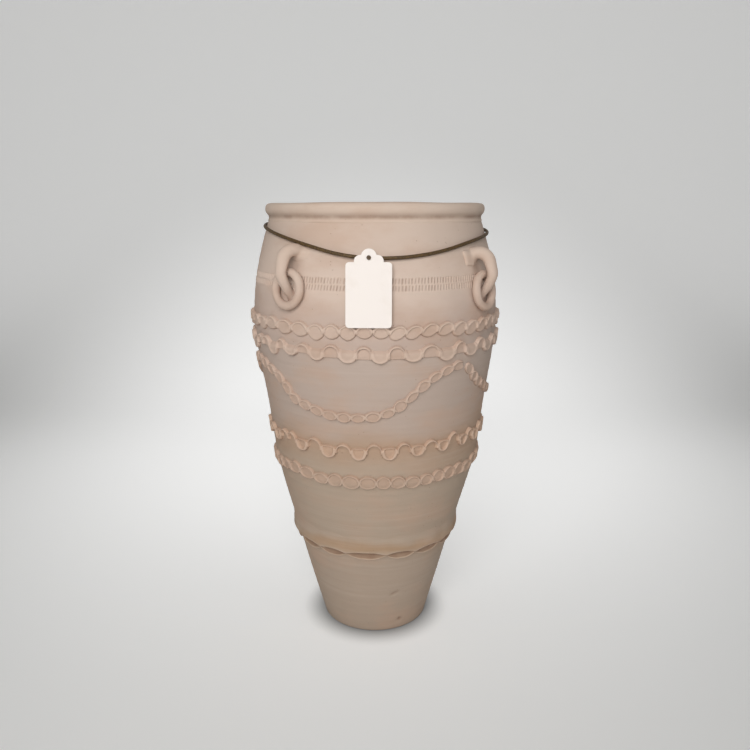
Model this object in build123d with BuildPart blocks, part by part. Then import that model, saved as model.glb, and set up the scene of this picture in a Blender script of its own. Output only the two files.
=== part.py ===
"""A tall clay storage jar with a rolled lip, applied clay ropes, four ear handles that each
hold a loose clay ring, and a cord round the neck that carries a plain hanging card.

Millimetres, +Z up, origin at the centre of the base, the front of the jar faces -Y.
Bearings are degrees round the jar from the front, growing towards +X.
"""

import os
from math import atan2, cos, hypot, pi, radians, sin, tan

from build123d import *

# Jar wall, built up in stages: outside sizes, each rise counted from the stage below
foot_radius = 88.5
foot_round = 5.0
waist_radius = 166.9
waist_height = 295.0
crease_radius = 177.3
crease_rise = 89.0
belly_radius = 194.0
belly_rise = 140.5
neck_radius = 165.8
neck_rise = 151.5
neck_slope_share = 0.35
wall = 14.0
floor = 18.0
foot_joint_height = 163.0
waist_joint_rise = 3.5

# Rolled lip, measured from the neck
lip_height = 24.0
lip_overhang = 5.4
lip_thickness = 18.8
lip_top_inset = 0.8
lip_inner_round = 4.0
lip_groove_step = 0.6
lip_groove_share = 0.1875
lip_roll_share = 0.604

# Seat between the wall and what is pressed onto it
seat_gap = 0.4

# Pressed lobes: the outline's corner as a share of its half sides, and the slope of the sides
lobe_corner_share = 0.42
lobe_taper = 18.0
lobe_overlap = 0.8
slope_reach = 2.0

# Shoulder rope: a row of pressed lobes
shoulder_rope_rise = 2.5
shoulder_rope_count = 48
shoulder_rope_bearing = 2.0
shoulder_rope_half_height = 11.0
shoulder_rope_relief = 6.0

# Wave rope under it: lobes that stand high and low in turn
wave_rope_gap = 7.3
wave_rope_count = 26
wave_rope_bearing = -5.0
wave_rope_swing = 3.6
wave_rope_half_height = 10.6
wave_rope_relief = 6.5

# Festoons: three hanging swags of pressed lobes
festoon_peaks = (-71.5, 42.5, 165.5)
festoon_gap = 0.3
festoon_drop = 73.0
festoon_lobe_count = 16
festoon_half_height = 7.5
festoon_relief = 5.0
festoon_end_gap = 0.6
festoon_height_shares = (
    1.0, 0.91, 0.815, 0.72, 0.39, 0.185, 0.137, 0.02, 0.0,
    0.007, 0.04, 0.144, 0.363, 0.664, 0.85, 0.966, 1.0,
)

# Pocket rope: filled pockets joined by thin arches
pocket_rope_gap = 25.5
pocket_rope_count = 25
pocket_rope_bearing = -1.5
pocket_half_width = 13.4
pocket_half_height = 10.6
pocket_rope_relief = 6.0
arch_rise = 5.3
arch_outer_radius = 11.4
arch_inner_radius = 6.9
arch_corner_count = 6

# Pearl rope: a row of small ovals
pearl_rope_count = 47
pearl_rope_bearing = 1.0
pearl_rope_half_height = 9.6
pearl_rope_relief = 5.0

# Collar and loose strip over the joint above the foot
joint_wave_count = 16
joint_wave_shares = (0.0, 0.75, 1.0, 0.75)
joint_bearing = 5.0
collar_height = 22.4
collar_rise = 2.6
collar_edge_rise = 4.2
collar_lip = 1.2
collar_swell = 8.0
collar_relief = 6.8
strip_gap = 0.8
strip_height = 5.0
strip_bevel = 1.2
strip_droop = 7.6
strip_relief = 6.2

# Ear handles
handle_bearings = (-38.8, 53.8, 140.5, 229.5)
handle_shifts = (0.5, -5.5, -1.5, 1.0)
handle_rise = 41.5
handle_height = 70.5
handle_reach = 22.5
handle_stock = 15.4
handle_sides = 8
handle_root_drop = 6.5
handle_root_half_width = 13.5
handle_root_half_height = 8.5
handle_root_relief = 5.0
# share of the height, share of the reach outwards, share of the reach towards the front
handle_path_shares = (
    (0.955, -0.3, 0.3),
    (0.985, 0.25, 0.22),
    (0.965, 0.7, 0.1),
    (0.87, 0.97, 0.02),
    (0.72, 1.04, 0.0),
    (0.54, 0.98, 0.0),
    (0.38, 0.72, 0.0),
    (0.22, 0.33, 0.0),
    (0.07, -0.1, 0.0),
    (0.0, -0.45, 0.0),
)

# Loose rings through the handles
ring_radius = 23.5
ring_stock = 13.0
ring_pivot_share = 0.539
ring_gap = 0.35
ring_lean = 8.0
ring_corner_count = 20
ring_sides = 8

# Cord round the neck: bearing, distance from the axis, height
cord_diameter = 5.0
cord_sides = 6
cord_route = (
    (167.5, 176.7, 669.0),
    (147.5, 174.0, 668.0),
    (127.5, 175.2, 665.5),
    (107.5, 176.6, 661.5),
    (87.5, 178.2, 657.5),
    (67.5, 180.0, 652.0),
    (47.5, 182.2, 644.5),
    (27.5, 185.5, 631.5),
    (7.5, 188.5, 625.0),
    (-12.5, 188.1, 628.0),
    (-32.5, 183.2, 643.0),
    (-52.5, 178.9, 655.0),
    (-72.5, 175.8, 663.5),
    (-92.5, 174.0, 668.0),
    (-112.5, 173.3, 670.0),
    (-132.5, 173.1, 670.5),
    (-152.5, 173.1, 670.5),
    (-172.5, 176.7, 670.0),
)
cord_bend_share = 0.45

# Knot that closes the cord at the back
knot_length = 15.0
knot_radius = 5.6
knot_taper = 16.0
knot_sides = 8

# Card hanging at the front, measured from its hole
card_width = 62.6
card_thickness = 1.6
card_below_hole = 94.0
card_body_top = 6.0
card_corner = 5.0
card_dome_radius = 10.6
card_dome_rise = 1.4
card_step_radius = 8.2
card_step_offset = 11.8
card_step_drop = 4.6
card_hole = 5.4
card_lean = 7.0

# Tie that holds the card to the cord
tie_length = 4.0
tie_bore_gap = 0.35
tie_thickness = 1.3
tie_stem = 4.0
tie_head = 6.4
tie_head_depth = 1.6
tie_gap = 0.2
tie_sides = 8


def curve_poles(low, high, low_slope, high_slope):
    """The poles of a smooth outline between two points, with its slope given at each end."""
    third = (high[1] - low[1]) / 3
    return (
        low,
        (low[0] + low_slope * third, low[1] + third),
        (high[0] - high_slope * third, high[1] - third),
        high,
    )


# Corners of the outline, as distance from the axis and height
waist = (waist_radius, waist_height)
crease = (crease_radius, waist_height + crease_rise)
belly = (belly_radius, crease[1] + belly_rise)
neck = (neck_radius, belly[1] + neck_rise)
crease_slope = (crease_radius - waist_radius) / crease_rise
lower_belly = curve_poles(crease, belly, crease_slope, 0)
upper_belly = curve_poles(belly, neck, 0, -neck_slope_share)
waist_joint_height = waist_height + waist_joint_rise
jar_height = neck[1] + lip_height


def wall_radius(height):
    """Outside radius of the jar's plain wall at a height."""
    if crease[1] < height < neck[1]:
        poles = lower_belly if height < belly[1] else upper_belly
        up = (height - poles[0][1]) / (poles[3][1] - poles[0][1])
        down = 1 - up
        weights = (down**3, 3 * down**2 * up, 3 * down * up**2, up**3)
        return sum(weight * pole[0] for weight, pole in zip(weights, poles))
    if height <= waist_height:
        low, high = (foot_radius, 0.0), waist
    elif height <= crease[1]:
        low, high = waist, crease
    else:
        low, high = upper_belly[2], neck
    return low[0] + (high[0] - low[0]) * (height - low[1]) / (high[1] - low[1])


def radial_plane(bearing, distance=0.0, height=0.0):
    """A plane through the jar's axis: its x runs outwards and its y runs up."""
    turn = radians(bearing)
    outward = Vector(sin(turn), -cos(turn), 0)
    side = Vector(cos(turn), sin(turn), 0)
    return Plane(outward * distance + Vector(0, 0, height), x_dir=outward, z_dir=-side)


def wall_plane(bearing, height, turn=0.0):
    """A plane lying on the wall's seat: x runs round the jar and y up the wall, turned by turn."""
    rise = wall_radius(height + slope_reach) - wall_radius(height - slope_reach)
    upright = radial_plane(bearing, wall_radius(height), height)
    normal = (upright.x_dir * (2 * slope_reach) - upright.y_dir * rise).normalized()
    side = -upright.z_dir
    along = side * cos(turn) + normal.cross(side) * sin(turn)
    return Plane(upright.origin + normal * seat_gap, x_dir=along, z_dir=normal)


def draw_outside(shift):
    """Draws the wall's outline from the foot to the neck, moved outwards by shift."""
    foot = (foot_radius - foot_round, 0)
    foot_edge = (wall_radius(foot_round), foot_round)
    Polyline((0, 0), *[(radius + shift, height) for radius, height in (foot, foot_edge, waist, crease)])
    Bezier(*[(radius + shift, height) for radius, height in lower_belly])
    Bezier(*[(radius + shift, height) for radius, height in upper_belly])


def label_and_write(part, name):
    """Names a finished piece and writes its file."""
    part.label = name
    export_step(part, f"parts/{name}.step")


os.makedirs("parts", exist_ok=True)

# The wall as one turned form, hollow from the floor to the neck
with BuildPart() as jar_wall:
    with BuildSketch(Plane.XZ):
        with BuildLine():
            draw_outside(0)
            Polyline(
                neck,
                (neck_radius - wall, neck[1]),
                (belly_radius - wall, belly[1]),
                (crease_radius - wall, crease[1]),
                (waist_radius - wall, waist_height),
                (wall_radius(floor) - wall, floor),
                (0, floor),
                (0, 0),
            )
        make_face()
    revolve(axis=Axis.Z)

# The wall comes apart at its two building joints
with BuildPart() as foot_wall:
    add(jar_wall.part)
    split(bisect_by=Plane.XY.offset(foot_joint_height), keep=Keep.BOTTOM)
label_and_write(foot_wall.part, "foot_wall")

with BuildPart() as waist_wall:
    add(jar_wall.part)
    split(bisect_by=Plane.XY.offset(foot_joint_height), keep=Keep.TOP)
    split(bisect_by=Plane.XY.offset(waist_joint_height), keep=Keep.BOTTOM)
label_and_write(waist_wall.part, "waist_wall")

with BuildPart() as shoulder_wall:
    add(jar_wall.part)
    split(bisect_by=Plane.XY.offset(waist_joint_height), keep=Keep.TOP)
label_and_write(shoulder_wall.part, "shoulder_wall")

with BuildPart() as lip:
    mouth_radius = neck_radius - lip_thickness
    groove = (neck_radius + lip_groove_step, neck[1] + lip_height * lip_groove_share)
    roll = (neck_radius + lip_overhang, neck[1] + lip_height * lip_roll_share)
    top = (neck_radius - lip_top_inset, jar_height)
    with BuildSketch(Plane.XZ):
        with BuildLine():
            Polyline(
                top,
                (mouth_radius + lip_inner_round, jar_height),
                (mouth_radius, jar_height - lip_inner_round),
                (mouth_radius, neck[1]),
                neck,
                groove,
            )
            ThreePointArc(groove, roll, top)
        make_face()
    revolve(axis=Axis.Z)
label_and_write(lip.part, "lip")


def lobe_outline(half_width, half_height):
    """An eight-sided oval."""
    corner_width = half_width * lobe_corner_share
    corner_height = half_height * lobe_corner_share
    quarter = [(half_width, corner_height), (corner_width, half_height)]
    top = quarter + [(-x, y) for x, y in reversed(quarter)]
    return top + [(-x, -y) for x, y in top]


def lay_pads(pads, relief):
    """Presses pads of clay on the wall, each an outline on its own plane, as one rope."""
    with BuildPart() as rope:
        for plane, outline in pads:
            with BuildSketch(plane):
                Polygon(*outline, align=None)
        extrude(amount=relief, taper=lobe_taper)
    return rope.part


def lobed_row(lobes, bearing, heights, half_height):
    """Equal lobes all round the jar, their middles at the given heights in turn."""
    step = 360 / lobes
    pads = []
    for index in range(lobes):
        height = heights[index % len(heights)]
        half_width = radians(step / 2) * wall_radius(height) + lobe_overlap
        outline = lobe_outline(half_width, half_height)
        pads.append((wall_plane(bearing + index * step, height), outline))
    return pads


shoulder_rope_height = belly[1] + shoulder_rope_rise
shoulder_rope = lay_pads(
    lobed_row(
        shoulder_rope_count,
        shoulder_rope_bearing,
        (shoulder_rope_height,),
        shoulder_rope_half_height,
    ),
    shoulder_rope_relief,
)
label_and_write(shoulder_rope, "shoulder_rope")

wave_rope_top = shoulder_rope_height - shoulder_rope_half_height - wave_rope_gap
wave_rope_height = wave_rope_top - wave_rope_half_height - wave_rope_swing
wave_rope = lay_pads(
    lobed_row(
        2 * wave_rope_count,
        wave_rope_bearing,
        (wave_rope_height + wave_rope_swing, wave_rope_height - wave_rope_swing),
        wave_rope_half_height,
    ),
    wave_rope_relief,
)
label_and_write(wave_rope, "wave_rope")

pearl_rope = lay_pads(
    lobed_row(pearl_rope_count, pearl_rope_bearing, (waist_joint_height,), pearl_rope_half_height),
    pearl_rope_relief,
)
label_and_write(pearl_rope, "pearl_rope")

# Pocket rope: an arch over each crest, a pocket in each trough
pocket_rope_low = waist_joint_height + pearl_rope_half_height + pocket_rope_gap
pocket_rope_height = pocket_rope_low + pocket_half_height
arch_turns = [pi * index / (arch_corner_count - 1) for index in range(arch_corner_count)]
arch_outline = [(arch_outer_radius * cos(turn), arch_outer_radius * sin(turn)) for turn in arch_turns]
arch_outline += [
    (arch_inner_radius * cos(turn), arch_inner_radius * sin(turn)) for turn in reversed(arch_turns)
]
pocket_step = 360 / pocket_rope_count
pocket_pads = []
for index in range(pocket_rope_count):
    crest = pocket_rope_bearing + index * pocket_step
    pocket_pads.append((wall_plane(crest, pocket_rope_height + arch_rise), arch_outline))
    pocket_plane = wall_plane(crest + pocket_step / 2, pocket_rope_height)
    pocket_pads.append((pocket_plane, lobe_outline(pocket_half_width, pocket_half_height)))
pocket_rope = lay_pads(pocket_pads, pocket_rope_relief)
label_and_write(pocket_rope, "pocket_rope")

# Festoons: each hangs from one peak to the next, its peaks close under the wave rope
festoon_top = wave_rope_height - wave_rope_swing - wave_rope_half_height - festoon_gap
festoon_low_height = festoon_top - festoon_half_height - festoon_drop
for number, peak in enumerate(festoon_peaks):
    following = festoon_peaks[(number + 1) % len(festoon_peaks)]
    lobe_step = (following - peak) % 360 / festoon_lobe_count
    pads = []
    for index in range(festoon_lobe_count):
        here = festoon_low_height + festoon_drop * festoon_height_shares[index]
        there = festoon_low_height + festoon_drop * festoon_height_shares[index + 1]
        height = (here + there) / 2
        run = radians(lobe_step) * wall_radius(height)
        turn = atan2(there - here, run)
        at_an_end = index in (0, festoon_lobe_count - 1)
        half_width = hypot(run, there - here) / 2 + (-festoon_end_gap if at_an_end else lobe_overlap)
        plane = wall_plane(peak + lobe_step * (index + 0.5), height, turn)
        pads.append((plane, lobe_outline(half_width, festoon_half_height)))
    label_and_write(lay_pads(pads, festoon_relief), f"festoon_{number + 1}")


def loft_strip(runs):
    """Lofts a strip with straight facets, in one or more lengths that meet, its back on the wall."""
    with BuildPart() as strip:
        for sections in runs:
            for bearing, low, ridge_low, ridge_high, high, relief in sections:
                with BuildSketch(radial_plane(bearing)):
                    with BuildLine():
                        Polyline(
                            (wall_radius(low) + seat_gap, low),
                            (wall_radius(ridge_low) + seat_gap + relief, ridge_low),
                            (wall_radius(ridge_high) + seat_gap + relief, ridge_high),
                            (wall_radius(high) + seat_gap, high),
                            close=True,
                        )
                    make_face()
            loft(ruled=True)
    return strip.part


def closed_strip(sections):
    """A strip all round the jar, laid in two lengths that meet."""
    half = len(sections) // 2
    return loft_strip([sections[: half + 1], sections[half:] + sections[:1]])


# Collar and strip over the foot joint: the collar's edge and the strip part in lens-shaped gaps
joint_step = 360 / joint_wave_count
collar_pinch_height = foot_joint_height + collar_rise
collar_top_height = collar_pinch_height + collar_height
collar_sections = []
strip_sections = []
for index in range(joint_wave_count):
    pinch = joint_bearing + index * joint_step
    for part_way, share in enumerate(joint_wave_shares):
        bearing = pinch + joint_step * part_way / len(joint_wave_shares)
        edge = collar_pinch_height + collar_edge_rise * share
        swell = edge + collar_swell
        collar_sections.append(
            (bearing, edge, edge + collar_lip, swell, collar_top_height, collar_relief)
        )
        top = collar_pinch_height - strip_gap - strip_droop * share
        low = top - strip_height
        strip_sections.append(
            (bearing, low, low + strip_bevel, top - strip_bevel, top, strip_relief)
        )
joint_collar = closed_strip(collar_sections)
label_and_write(joint_collar, "joint_collar")
joint_strip = closed_strip(strip_sections)
label_and_write(joint_strip, "joint_strip")

# What the handles are cut back to, so that their roots seat on the wall
with BuildPart() as seat_core:
    with BuildSketch(Plane.XZ):
        with BuildLine():
            draw_outside(seat_gap)
            Polyline((neck_radius + seat_gap, neck[1]), (0, neck[1]), (0, 0))
        make_face()
    revolve(axis=Axis.Z)


handle_low_height = belly[1] + handle_rise


def make_handle(bearing, shift):
    """One ear handle: a loop of clay from the shoulder down to the belly, smeared on at its top."""
    upright = radial_plane(bearing)
    side = -upright.z_dir
    front = side if side.Y < 0 else -side
    low_height = handle_low_height + shift
    points = []
    for height_share, reach_share, front_share in handle_path_shares:
        height = low_height + height_share * handle_height
        distance = wall_radius(height) + reach_share * handle_reach
        in_plane = upright.from_local_coords(Vector(distance, height))
        points.append(in_plane + front * (front_share * handle_reach))
    root_bearing = atan2(points[0].X, -points[0].Y) * 180 / pi
    with BuildPart() as handle:
        with BuildLine():
            Polyline(*points)
        with BuildSketch(Plane(points[0], x_dir=side, z_dir=points[1] - points[0])):
            RegularPolygon(handle_stock / 2, handle_sides, rotation=180 / handle_sides)
        sweep(transition=Transition.RIGHT)
        with BuildSketch(wall_plane(root_bearing, low_height + handle_height - handle_root_drop)):
            Polygon(*lobe_outline(handle_root_half_width, handle_root_half_height), align=None)
        extrude(amount=handle_root_relief, taper=lobe_taper)
        add(seat_core.part, mode=Mode.SUBTRACT)
    return handle.part


def make_ring(bearing, shift):
    """One loose ring, hanging through a handle and leaning on the wall."""
    upright = radial_plane(bearing)
    pivot_height = handle_low_height + shift + handle_height * ring_pivot_share
    pivot_distance = wall_radius(pivot_height) + ring_stock / 2 + ring_gap
    print("ring pivot", round(bearing, 3), round(pivot_distance, 3), round(pivot_height, 3))
    lean = radians(ring_lean)
    down = upright.x_dir * sin(lean) - upright.y_dir * cos(lean)
    middle = upright.from_local_coords(Vector(pivot_distance, pivot_height)) + down * ring_radius
    side = -upright.z_dir
    corners = []
    for index in range(ring_corner_count):
        turn = 2 * pi * (index + 0.5) / ring_corner_count
        corners.append(middle + (side * cos(turn) + down * sin(turn)) * ring_radius)
    start = (corners[0] + corners[-1]) / 2
    with BuildPart() as ring:
        with BuildLine():
            Polyline(start, *corners, start)
        with BuildSketch(Plane(start, x_dir=side, z_dir=down)):
            RegularPolygon(ring_stock / 2, ring_sides, rotation=180 / ring_sides)
        sweep(transition=Transition.RIGHT)
    return ring.part


corner_names = ("front_left", "front_right", "back_right", "back_left")
for corner, bearing, shift in zip(corner_names, handle_bearings, handle_shifts):
    label_and_write(make_handle(bearing, shift), f"handle_{corner}")
    label_and_write(make_ring(bearing, shift), f"ring_{corner}")

# Cord round the neck: straight runs joined by arcs as large as the runs allow
route = []
for bearing, distance, height in cord_route:
    turn = radians(bearing)
    route.append(Vector(distance * sin(turn), -distance * cos(turn), height))
knot_middle = (route[0] + route[-1]) / 2
knot_along = (route[0] - route[-1]).normalized()
route.insert(0, knot_middle + knot_along * (knot_length / 2))
route.append(knot_middle - knot_along * (knot_length / 2))
bends = []
for before, here, after in zip(route, route[1:], route[2:]):
    turn = radians((here - before).get_angle(after - here))
    shorter = min((here - before).length, (after - here).length)
    bends.append(cord_bend_share * shorter / tan(turn / 2))
print("cord bend radii", [round(bend) for bend in bends])
print("cord length", round(sum((b - a).length for a, b in zip(route, route[1:]))))

with BuildPart() as neck_cord:
    with BuildLine() as cord_path:
        FilletPolyline(*route, radius=bends)
    with BuildSketch(Plane(route[0], z_dir=route[1] - route[0])):
        RegularPolygon(cord_diameter / 2, cord_sides)
    sweep()
path_length = sum(edge.length for edge in cord_path.edges())
section_area = cord_sides / 2 * sin(2 * pi / cord_sides) * (cord_diameter / 2) ** 2
print("cord volume", round(neck_cord.part.volume), "expected", round(section_area * path_length))
label_and_write(neck_cord.part, "neck_cord")

with BuildPart() as cord_knot:
    with BuildSketch(Plane(knot_middle, z_dir=knot_along)):
        RegularPolygon(knot_radius, knot_sides)
    extrude(amount=knot_length / 2, taper=knot_taper)
    mirror(about=Plane(knot_middle, z_dir=knot_along))
label_and_write(cord_knot.part, "cord_knot")

# Card and its tie, which turn together about the cord at the lowest run of its route
lowest = min(range(len(route) - 1), key=lambda i: route[i].Z + route[i + 1].Z)
card_pivot = (route[lowest] + route[lowest + 1]) / 2
card_bearing = atan2(card_pivot.X, -card_pivot.Y) * 180 / pi
print("card pivot", card_pivot, "bearing", round(card_bearing, 3))
card_upright = radial_plane(card_bearing)
card_side = -card_upright.z_dir
lean = radians(card_lean)
card_out = card_upright.x_dir * cos(lean) + card_upright.y_dir * sin(lean)
tie_radius = cord_diameter / 2 + tie_bore_gap + tie_thickness
card_back = Plane(card_pivot + card_out * (tie_radius + tie_gap), x_dir=card_side, z_dir=card_out)

with BuildPart() as tag:
    with BuildSketch(card_back):
        with Locations((0, -(card_body_top + card_below_hole) / 2)):
            RectangleRounded(card_width, card_below_hole - card_body_top, card_corner)
        with Locations((0, card_dome_rise)):
            Circle(card_dome_radius)
        with Locations((-card_step_offset, -card_step_drop), (card_step_offset, -card_step_drop)):
            Circle(card_step_radius)
        Circle(card_hole / 2, mode=Mode.SUBTRACT)
    extrude(amount=card_thickness)
label_and_write(tag.part, "tag")

with BuildPart() as tag_tie:
    with BuildSketch(Plane(card_pivot - card_side * (tie_length / 2), x_dir=card_out, z_dir=card_side)):
        RegularPolygon(tie_radius, tie_sides, major_radius=False)
        RegularPolygon(cord_diameter / 2 + tie_bore_gap, tie_sides, major_radius=False, mode=Mode.SUBTRACT)
    extrude(amount=tie_length)
    with BuildSketch(card_back.offset(-(tie_gap + tie_thickness / 2))):
        RegularPolygon(tie_stem / 2, tie_sides)
    extrude(amount=tie_thickness / 2 + 2 * tie_gap + card_thickness + tie_head_depth / 2)
    with BuildSketch(card_back.offset(card_thickness + tie_gap)):
        RegularPolygon(tie_head / 2, tie_sides)
    extrude(amount=tie_head_depth)
label_and_write(tag_tie.part, "tag_tie")
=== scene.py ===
"""A tall hand-built clay storage jar: turned wall, pressed clay ropes, ear handles with loose
rings, and a cord round the neck that carries a plain card.

Lengths inside the classes are millimetres and bearings are degrees round the jar from the front,
growing towards +X, as the jar's own drawing has them. Everything handed to Blender is in metres.
"""

import logging
from dataclasses import dataclass, replace
from enum import Enum
from math import cos, pi, radians, sin
from typing import Sequence

import bpy
import numpy as np
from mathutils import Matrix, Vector

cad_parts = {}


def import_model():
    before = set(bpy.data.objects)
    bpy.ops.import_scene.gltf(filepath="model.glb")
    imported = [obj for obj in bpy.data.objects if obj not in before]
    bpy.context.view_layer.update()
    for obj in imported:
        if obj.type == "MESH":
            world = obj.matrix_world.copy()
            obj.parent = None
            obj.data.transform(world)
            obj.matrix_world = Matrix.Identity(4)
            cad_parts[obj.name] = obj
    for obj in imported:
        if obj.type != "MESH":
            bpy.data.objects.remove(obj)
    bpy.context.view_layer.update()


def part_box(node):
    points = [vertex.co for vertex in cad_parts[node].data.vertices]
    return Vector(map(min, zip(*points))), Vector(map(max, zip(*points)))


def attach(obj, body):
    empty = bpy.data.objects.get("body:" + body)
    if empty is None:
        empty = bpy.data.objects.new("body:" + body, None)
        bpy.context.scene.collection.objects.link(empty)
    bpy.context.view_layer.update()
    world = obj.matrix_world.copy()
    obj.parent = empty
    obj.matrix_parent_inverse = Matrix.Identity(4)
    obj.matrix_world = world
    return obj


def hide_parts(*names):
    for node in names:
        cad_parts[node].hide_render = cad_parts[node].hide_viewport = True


log = logging.getLogger("clay_jar")

Color = tuple[int, int, int]
Array = np.ndarray
Pair = tuple[float, float]
Triple = tuple[float, float, float]
Face = tuple[int, ...]
Shell = tuple[Array, list[Face]]
Knot = tuple[float, Array]
Socket = bpy.types.NodeSocket
Finish = bpy.types.Material
Tree = bpy.types.NodeTree
Node = bpy.types.Node
Piece = bpy.types.Object

MM = 0.001
FULL_TURN = 360.0
WHITE = (1.0, 1.0, 1.0, 1.0)
CORNERS = {"front_left": -38.8, "front_right": 53.8, "back_right": 140.5, "back_left": 229.5}
HANDLE_SHIFTS = {"front_left": 0.5, "front_right": -5.5, "back_right": -1.5, "back_left": 1.0}
HANDLE_LOW = 566.0
HANDLE_RISE = 70.5


class Body(Enum):
    """The bodies that pieces ride on."""

    JAR = "jar"
    CARD = "card"


class Slot(Enum):
    """The record's material slots."""

    CLAY = "clay"
    ROPE = "rope_clay"
    CORD = "cord"


def from_screen(color: Color) -> tuple[float, ...]:
    """A screen colour, 0 to 255, as the linear colour with alpha that a socket takes.

    Args:
        color: The screen colour.

    Returns:
        The linear colour, with an alpha of 1.
    """
    linear = []
    for value in color:
        share = value / 255
        linear.append(share / 12.92 if share <= 0.04045 else ((share + 0.055) / 1.055) ** 2.4)
    return (*linear, 1.0)


def around(bearing: Array, distance: Array, height: Array) -> Array:
    """Places round the jar's axis, in rows of three."""
    turn = np.radians(bearing)
    return np.stack(np.broadcast_arrays(distance * np.sin(turn), -distance * np.cos(turn), height), axis=-1)


def axes(bearing: float) -> tuple[Array, Array]:
    """The direction away from the jar's axis at a bearing, and the one of growing bearings."""
    turn = radians(bearing)
    return np.array([sin(turn), -cos(turn), 0.0]), np.array([cos(turn), sin(turn), 0.0])


def towards_front(bearing: float) -> float:
    """The sign that turns a bearing nearer to the front."""
    return 1.0 if sin(radians(bearing)) < 0 else -1.0


def all_bearings(count: int) -> Array:
    """Equal bearings all round."""
    return np.arange(count) * 360 / count


def ease(value: Array, low: float, high: float) -> Array:
    """A smooth step from 0 to 1 between two values."""
    share = np.clip((value - low) / (high - low), 0, 1)
    return share**2 * (3 - 2 * share)


@dataclass(frozen=True)
class Ripple:
    """Slow unevenness of hand-worked clay, as a few crossed waves through space."""

    seed: int
    reach: float
    height: float
    waves: int = 9

    def at(self, points: Array) -> Array:
        """How far the clay stands proud, in millimetres, at places given in millimetres.

        Args:
            points: Places in rows of three.

        Returns:
            One height for each place.
        """
        draw = np.random.default_rng(self.seed)
        total = np.zeros(points.shape[:-1])
        for _ in range(self.waves):
            heading = draw.normal(size=3)
            heading /= np.linalg.norm(heading)
            length = self.reach * draw.uniform(0.6, 1.7)
            phase = draw.uniform(0, 2 * pi)
            total += np.sin(points @ heading * (2 * pi / length) + phase)
        return total * self.height / np.sqrt(self.waves)


@dataclass(frozen=True)
class JarSurface:
    """The outside of the jar's wall, which everything else is pressed onto."""

    foot_radius: float = 88.5
    waist_radius: float = 166.9
    waist_height: float = 295.0
    crease_radius: float = 177.3
    crease_rise: float = 89.0
    belly_radius: float = 194.0
    belly_rise: float = 140.5
    neck_radius: float = 165.8
    neck_rise: float = 151.5
    neck_slope_share: float = 0.35
    wall: float = 14.0
    floor: float = 18.0
    swell: Ripple = Ripple(seed=3, reach=210, height=0.45)
    dent: Ripple = Ripple(seed=11, reach=70, height=0.16)
    # turning rings: their pitches, the height of the finest, and how they sway
    ring_pitches: Triple = (6.3, 9.1, 17.0)
    ring_height: float = 0.04
    ring_sway: float = 0.6
    # the step under the crease: how far below, half its width, its depth
    step: Triple = (5.0, 2.4, 0.35)
    foot_calm: float = 6.0
    lean: float = 1.8
    lean_height: float = 320.0
    lean_reach: float = 130.0

    @property
    def crease_height(self) -> float:
        """Height of the faint crease between the lower wall and the belly."""
        return self.waist_height + self.crease_rise

    @property
    def belly_height(self) -> float:
        """Height of the widest part."""
        return self.crease_height + self.belly_rise

    @property
    def neck_height(self) -> float:
        """Height where the lip begins."""
        return self.belly_height + self.neck_rise

    def plain_radius(self, height: Array) -> Array:
        """The wall's even outline, as distances from the axis, with no hand marks.

        Args:
            height: Heights in millimetres.

        Returns:
            One distance for each height.
        """
        height = np.asarray(height, dtype=float)
        heights = (0.0, self.waist_height, self.crease_height)
        straight = np.interp(height, heights, (self.foot_radius, self.waist_radius, self.crease_radius))
        slope = (self.crease_radius - self.waist_radius) / self.crease_rise
        leaving = self.crease_radius + slope * (self.belly_rise / 3)
        poles = (self.crease_radius, leaving, self.belly_radius, self.belly_radius)
        lower = self.bend(poles, (height - self.crease_height) / self.belly_rise)
        arriving = self.neck_radius + self.neck_slope_share * self.neck_rise / 3
        poles = (self.belly_radius, self.belly_radius, arriving, self.neck_radius)
        upper = self.bend(poles, (height - self.belly_height) / self.neck_rise)
        above = np.where(height > self.belly_height, upper, lower)
        return np.where(height > self.crease_height, above, straight)

    @staticmethod
    def bend(poles: Sequence[float], up: Array) -> Array:
        """A smooth bend through four poles.

        Args:
            poles: The poles' distances from the axis.
            up: Share of the way up.

        Returns:
            Distances from the axis.
        """
        up = np.clip(up, 0, 1)
        down = 1 - up
        low, next_low, next_high, high = poles
        return low * down**3 + 3 * next_low * down**2 * up + 3 * next_high * down * up**2 + high * up**3

    def skin_radius(self, bearing: Array, height: Array) -> Array:
        """The wall's outline with the marks that hands and turning left.

        Args:
            bearing: Bearings in degrees.
            height: Heights in millimetres.

        Returns:
            Distances from the axis in millimetres.
        """
        turn = np.radians(bearing)
        radius = self.plain_radius(height)
        places = around(bearing, radius, height)
        marks = self.swell.at(places) + self.dent.at(places)
        for index, pitch in enumerate(self.ring_pitches):
            sway = self.ring_sway * np.sin((index + 1) * turn + index * 1.7)
            marks = marks + self.ring_height * (index + 1) * np.sin(2 * pi * height / pitch + sway)
        drop, half_width, depth = self.step
        step = np.exp(-(((height - self.crease_height + drop) / half_width) ** 2))
        marks = marks - depth * step * (0.6 + 0.4 * np.sin(2 * turn + 1.1))
        return radius + marks * np.clip(height / self.foot_calm, 0, 1)

    def point(self, bearing: Array, height: Array, lift: Array) -> Array:
        """Places on or over the wall.

        Args:
            bearing: Bearings in degrees.
            height: Heights in millimetres.
            lift: Distance out from the wall, square to it.

        Returns:
            Places in metres, in rows of three.
        """
        bearing, height, lift = np.broadcast_arrays(bearing, height, lift)
        slope = (self.plain_radius(height + 2) - self.plain_radius(height - 2)) / 4
        long_side = np.sqrt(1 + slope**2)
        radius = self.skin_radius(bearing, height) + lift / long_side
        places = around(bearing, radius, height - lift * slope / long_side)
        places[..., 0] += self.lean * np.exp(-(((height - self.lean_height) / self.lean_reach) ** 2))
        return places * MM


SURFACE = JarSurface()


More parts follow.
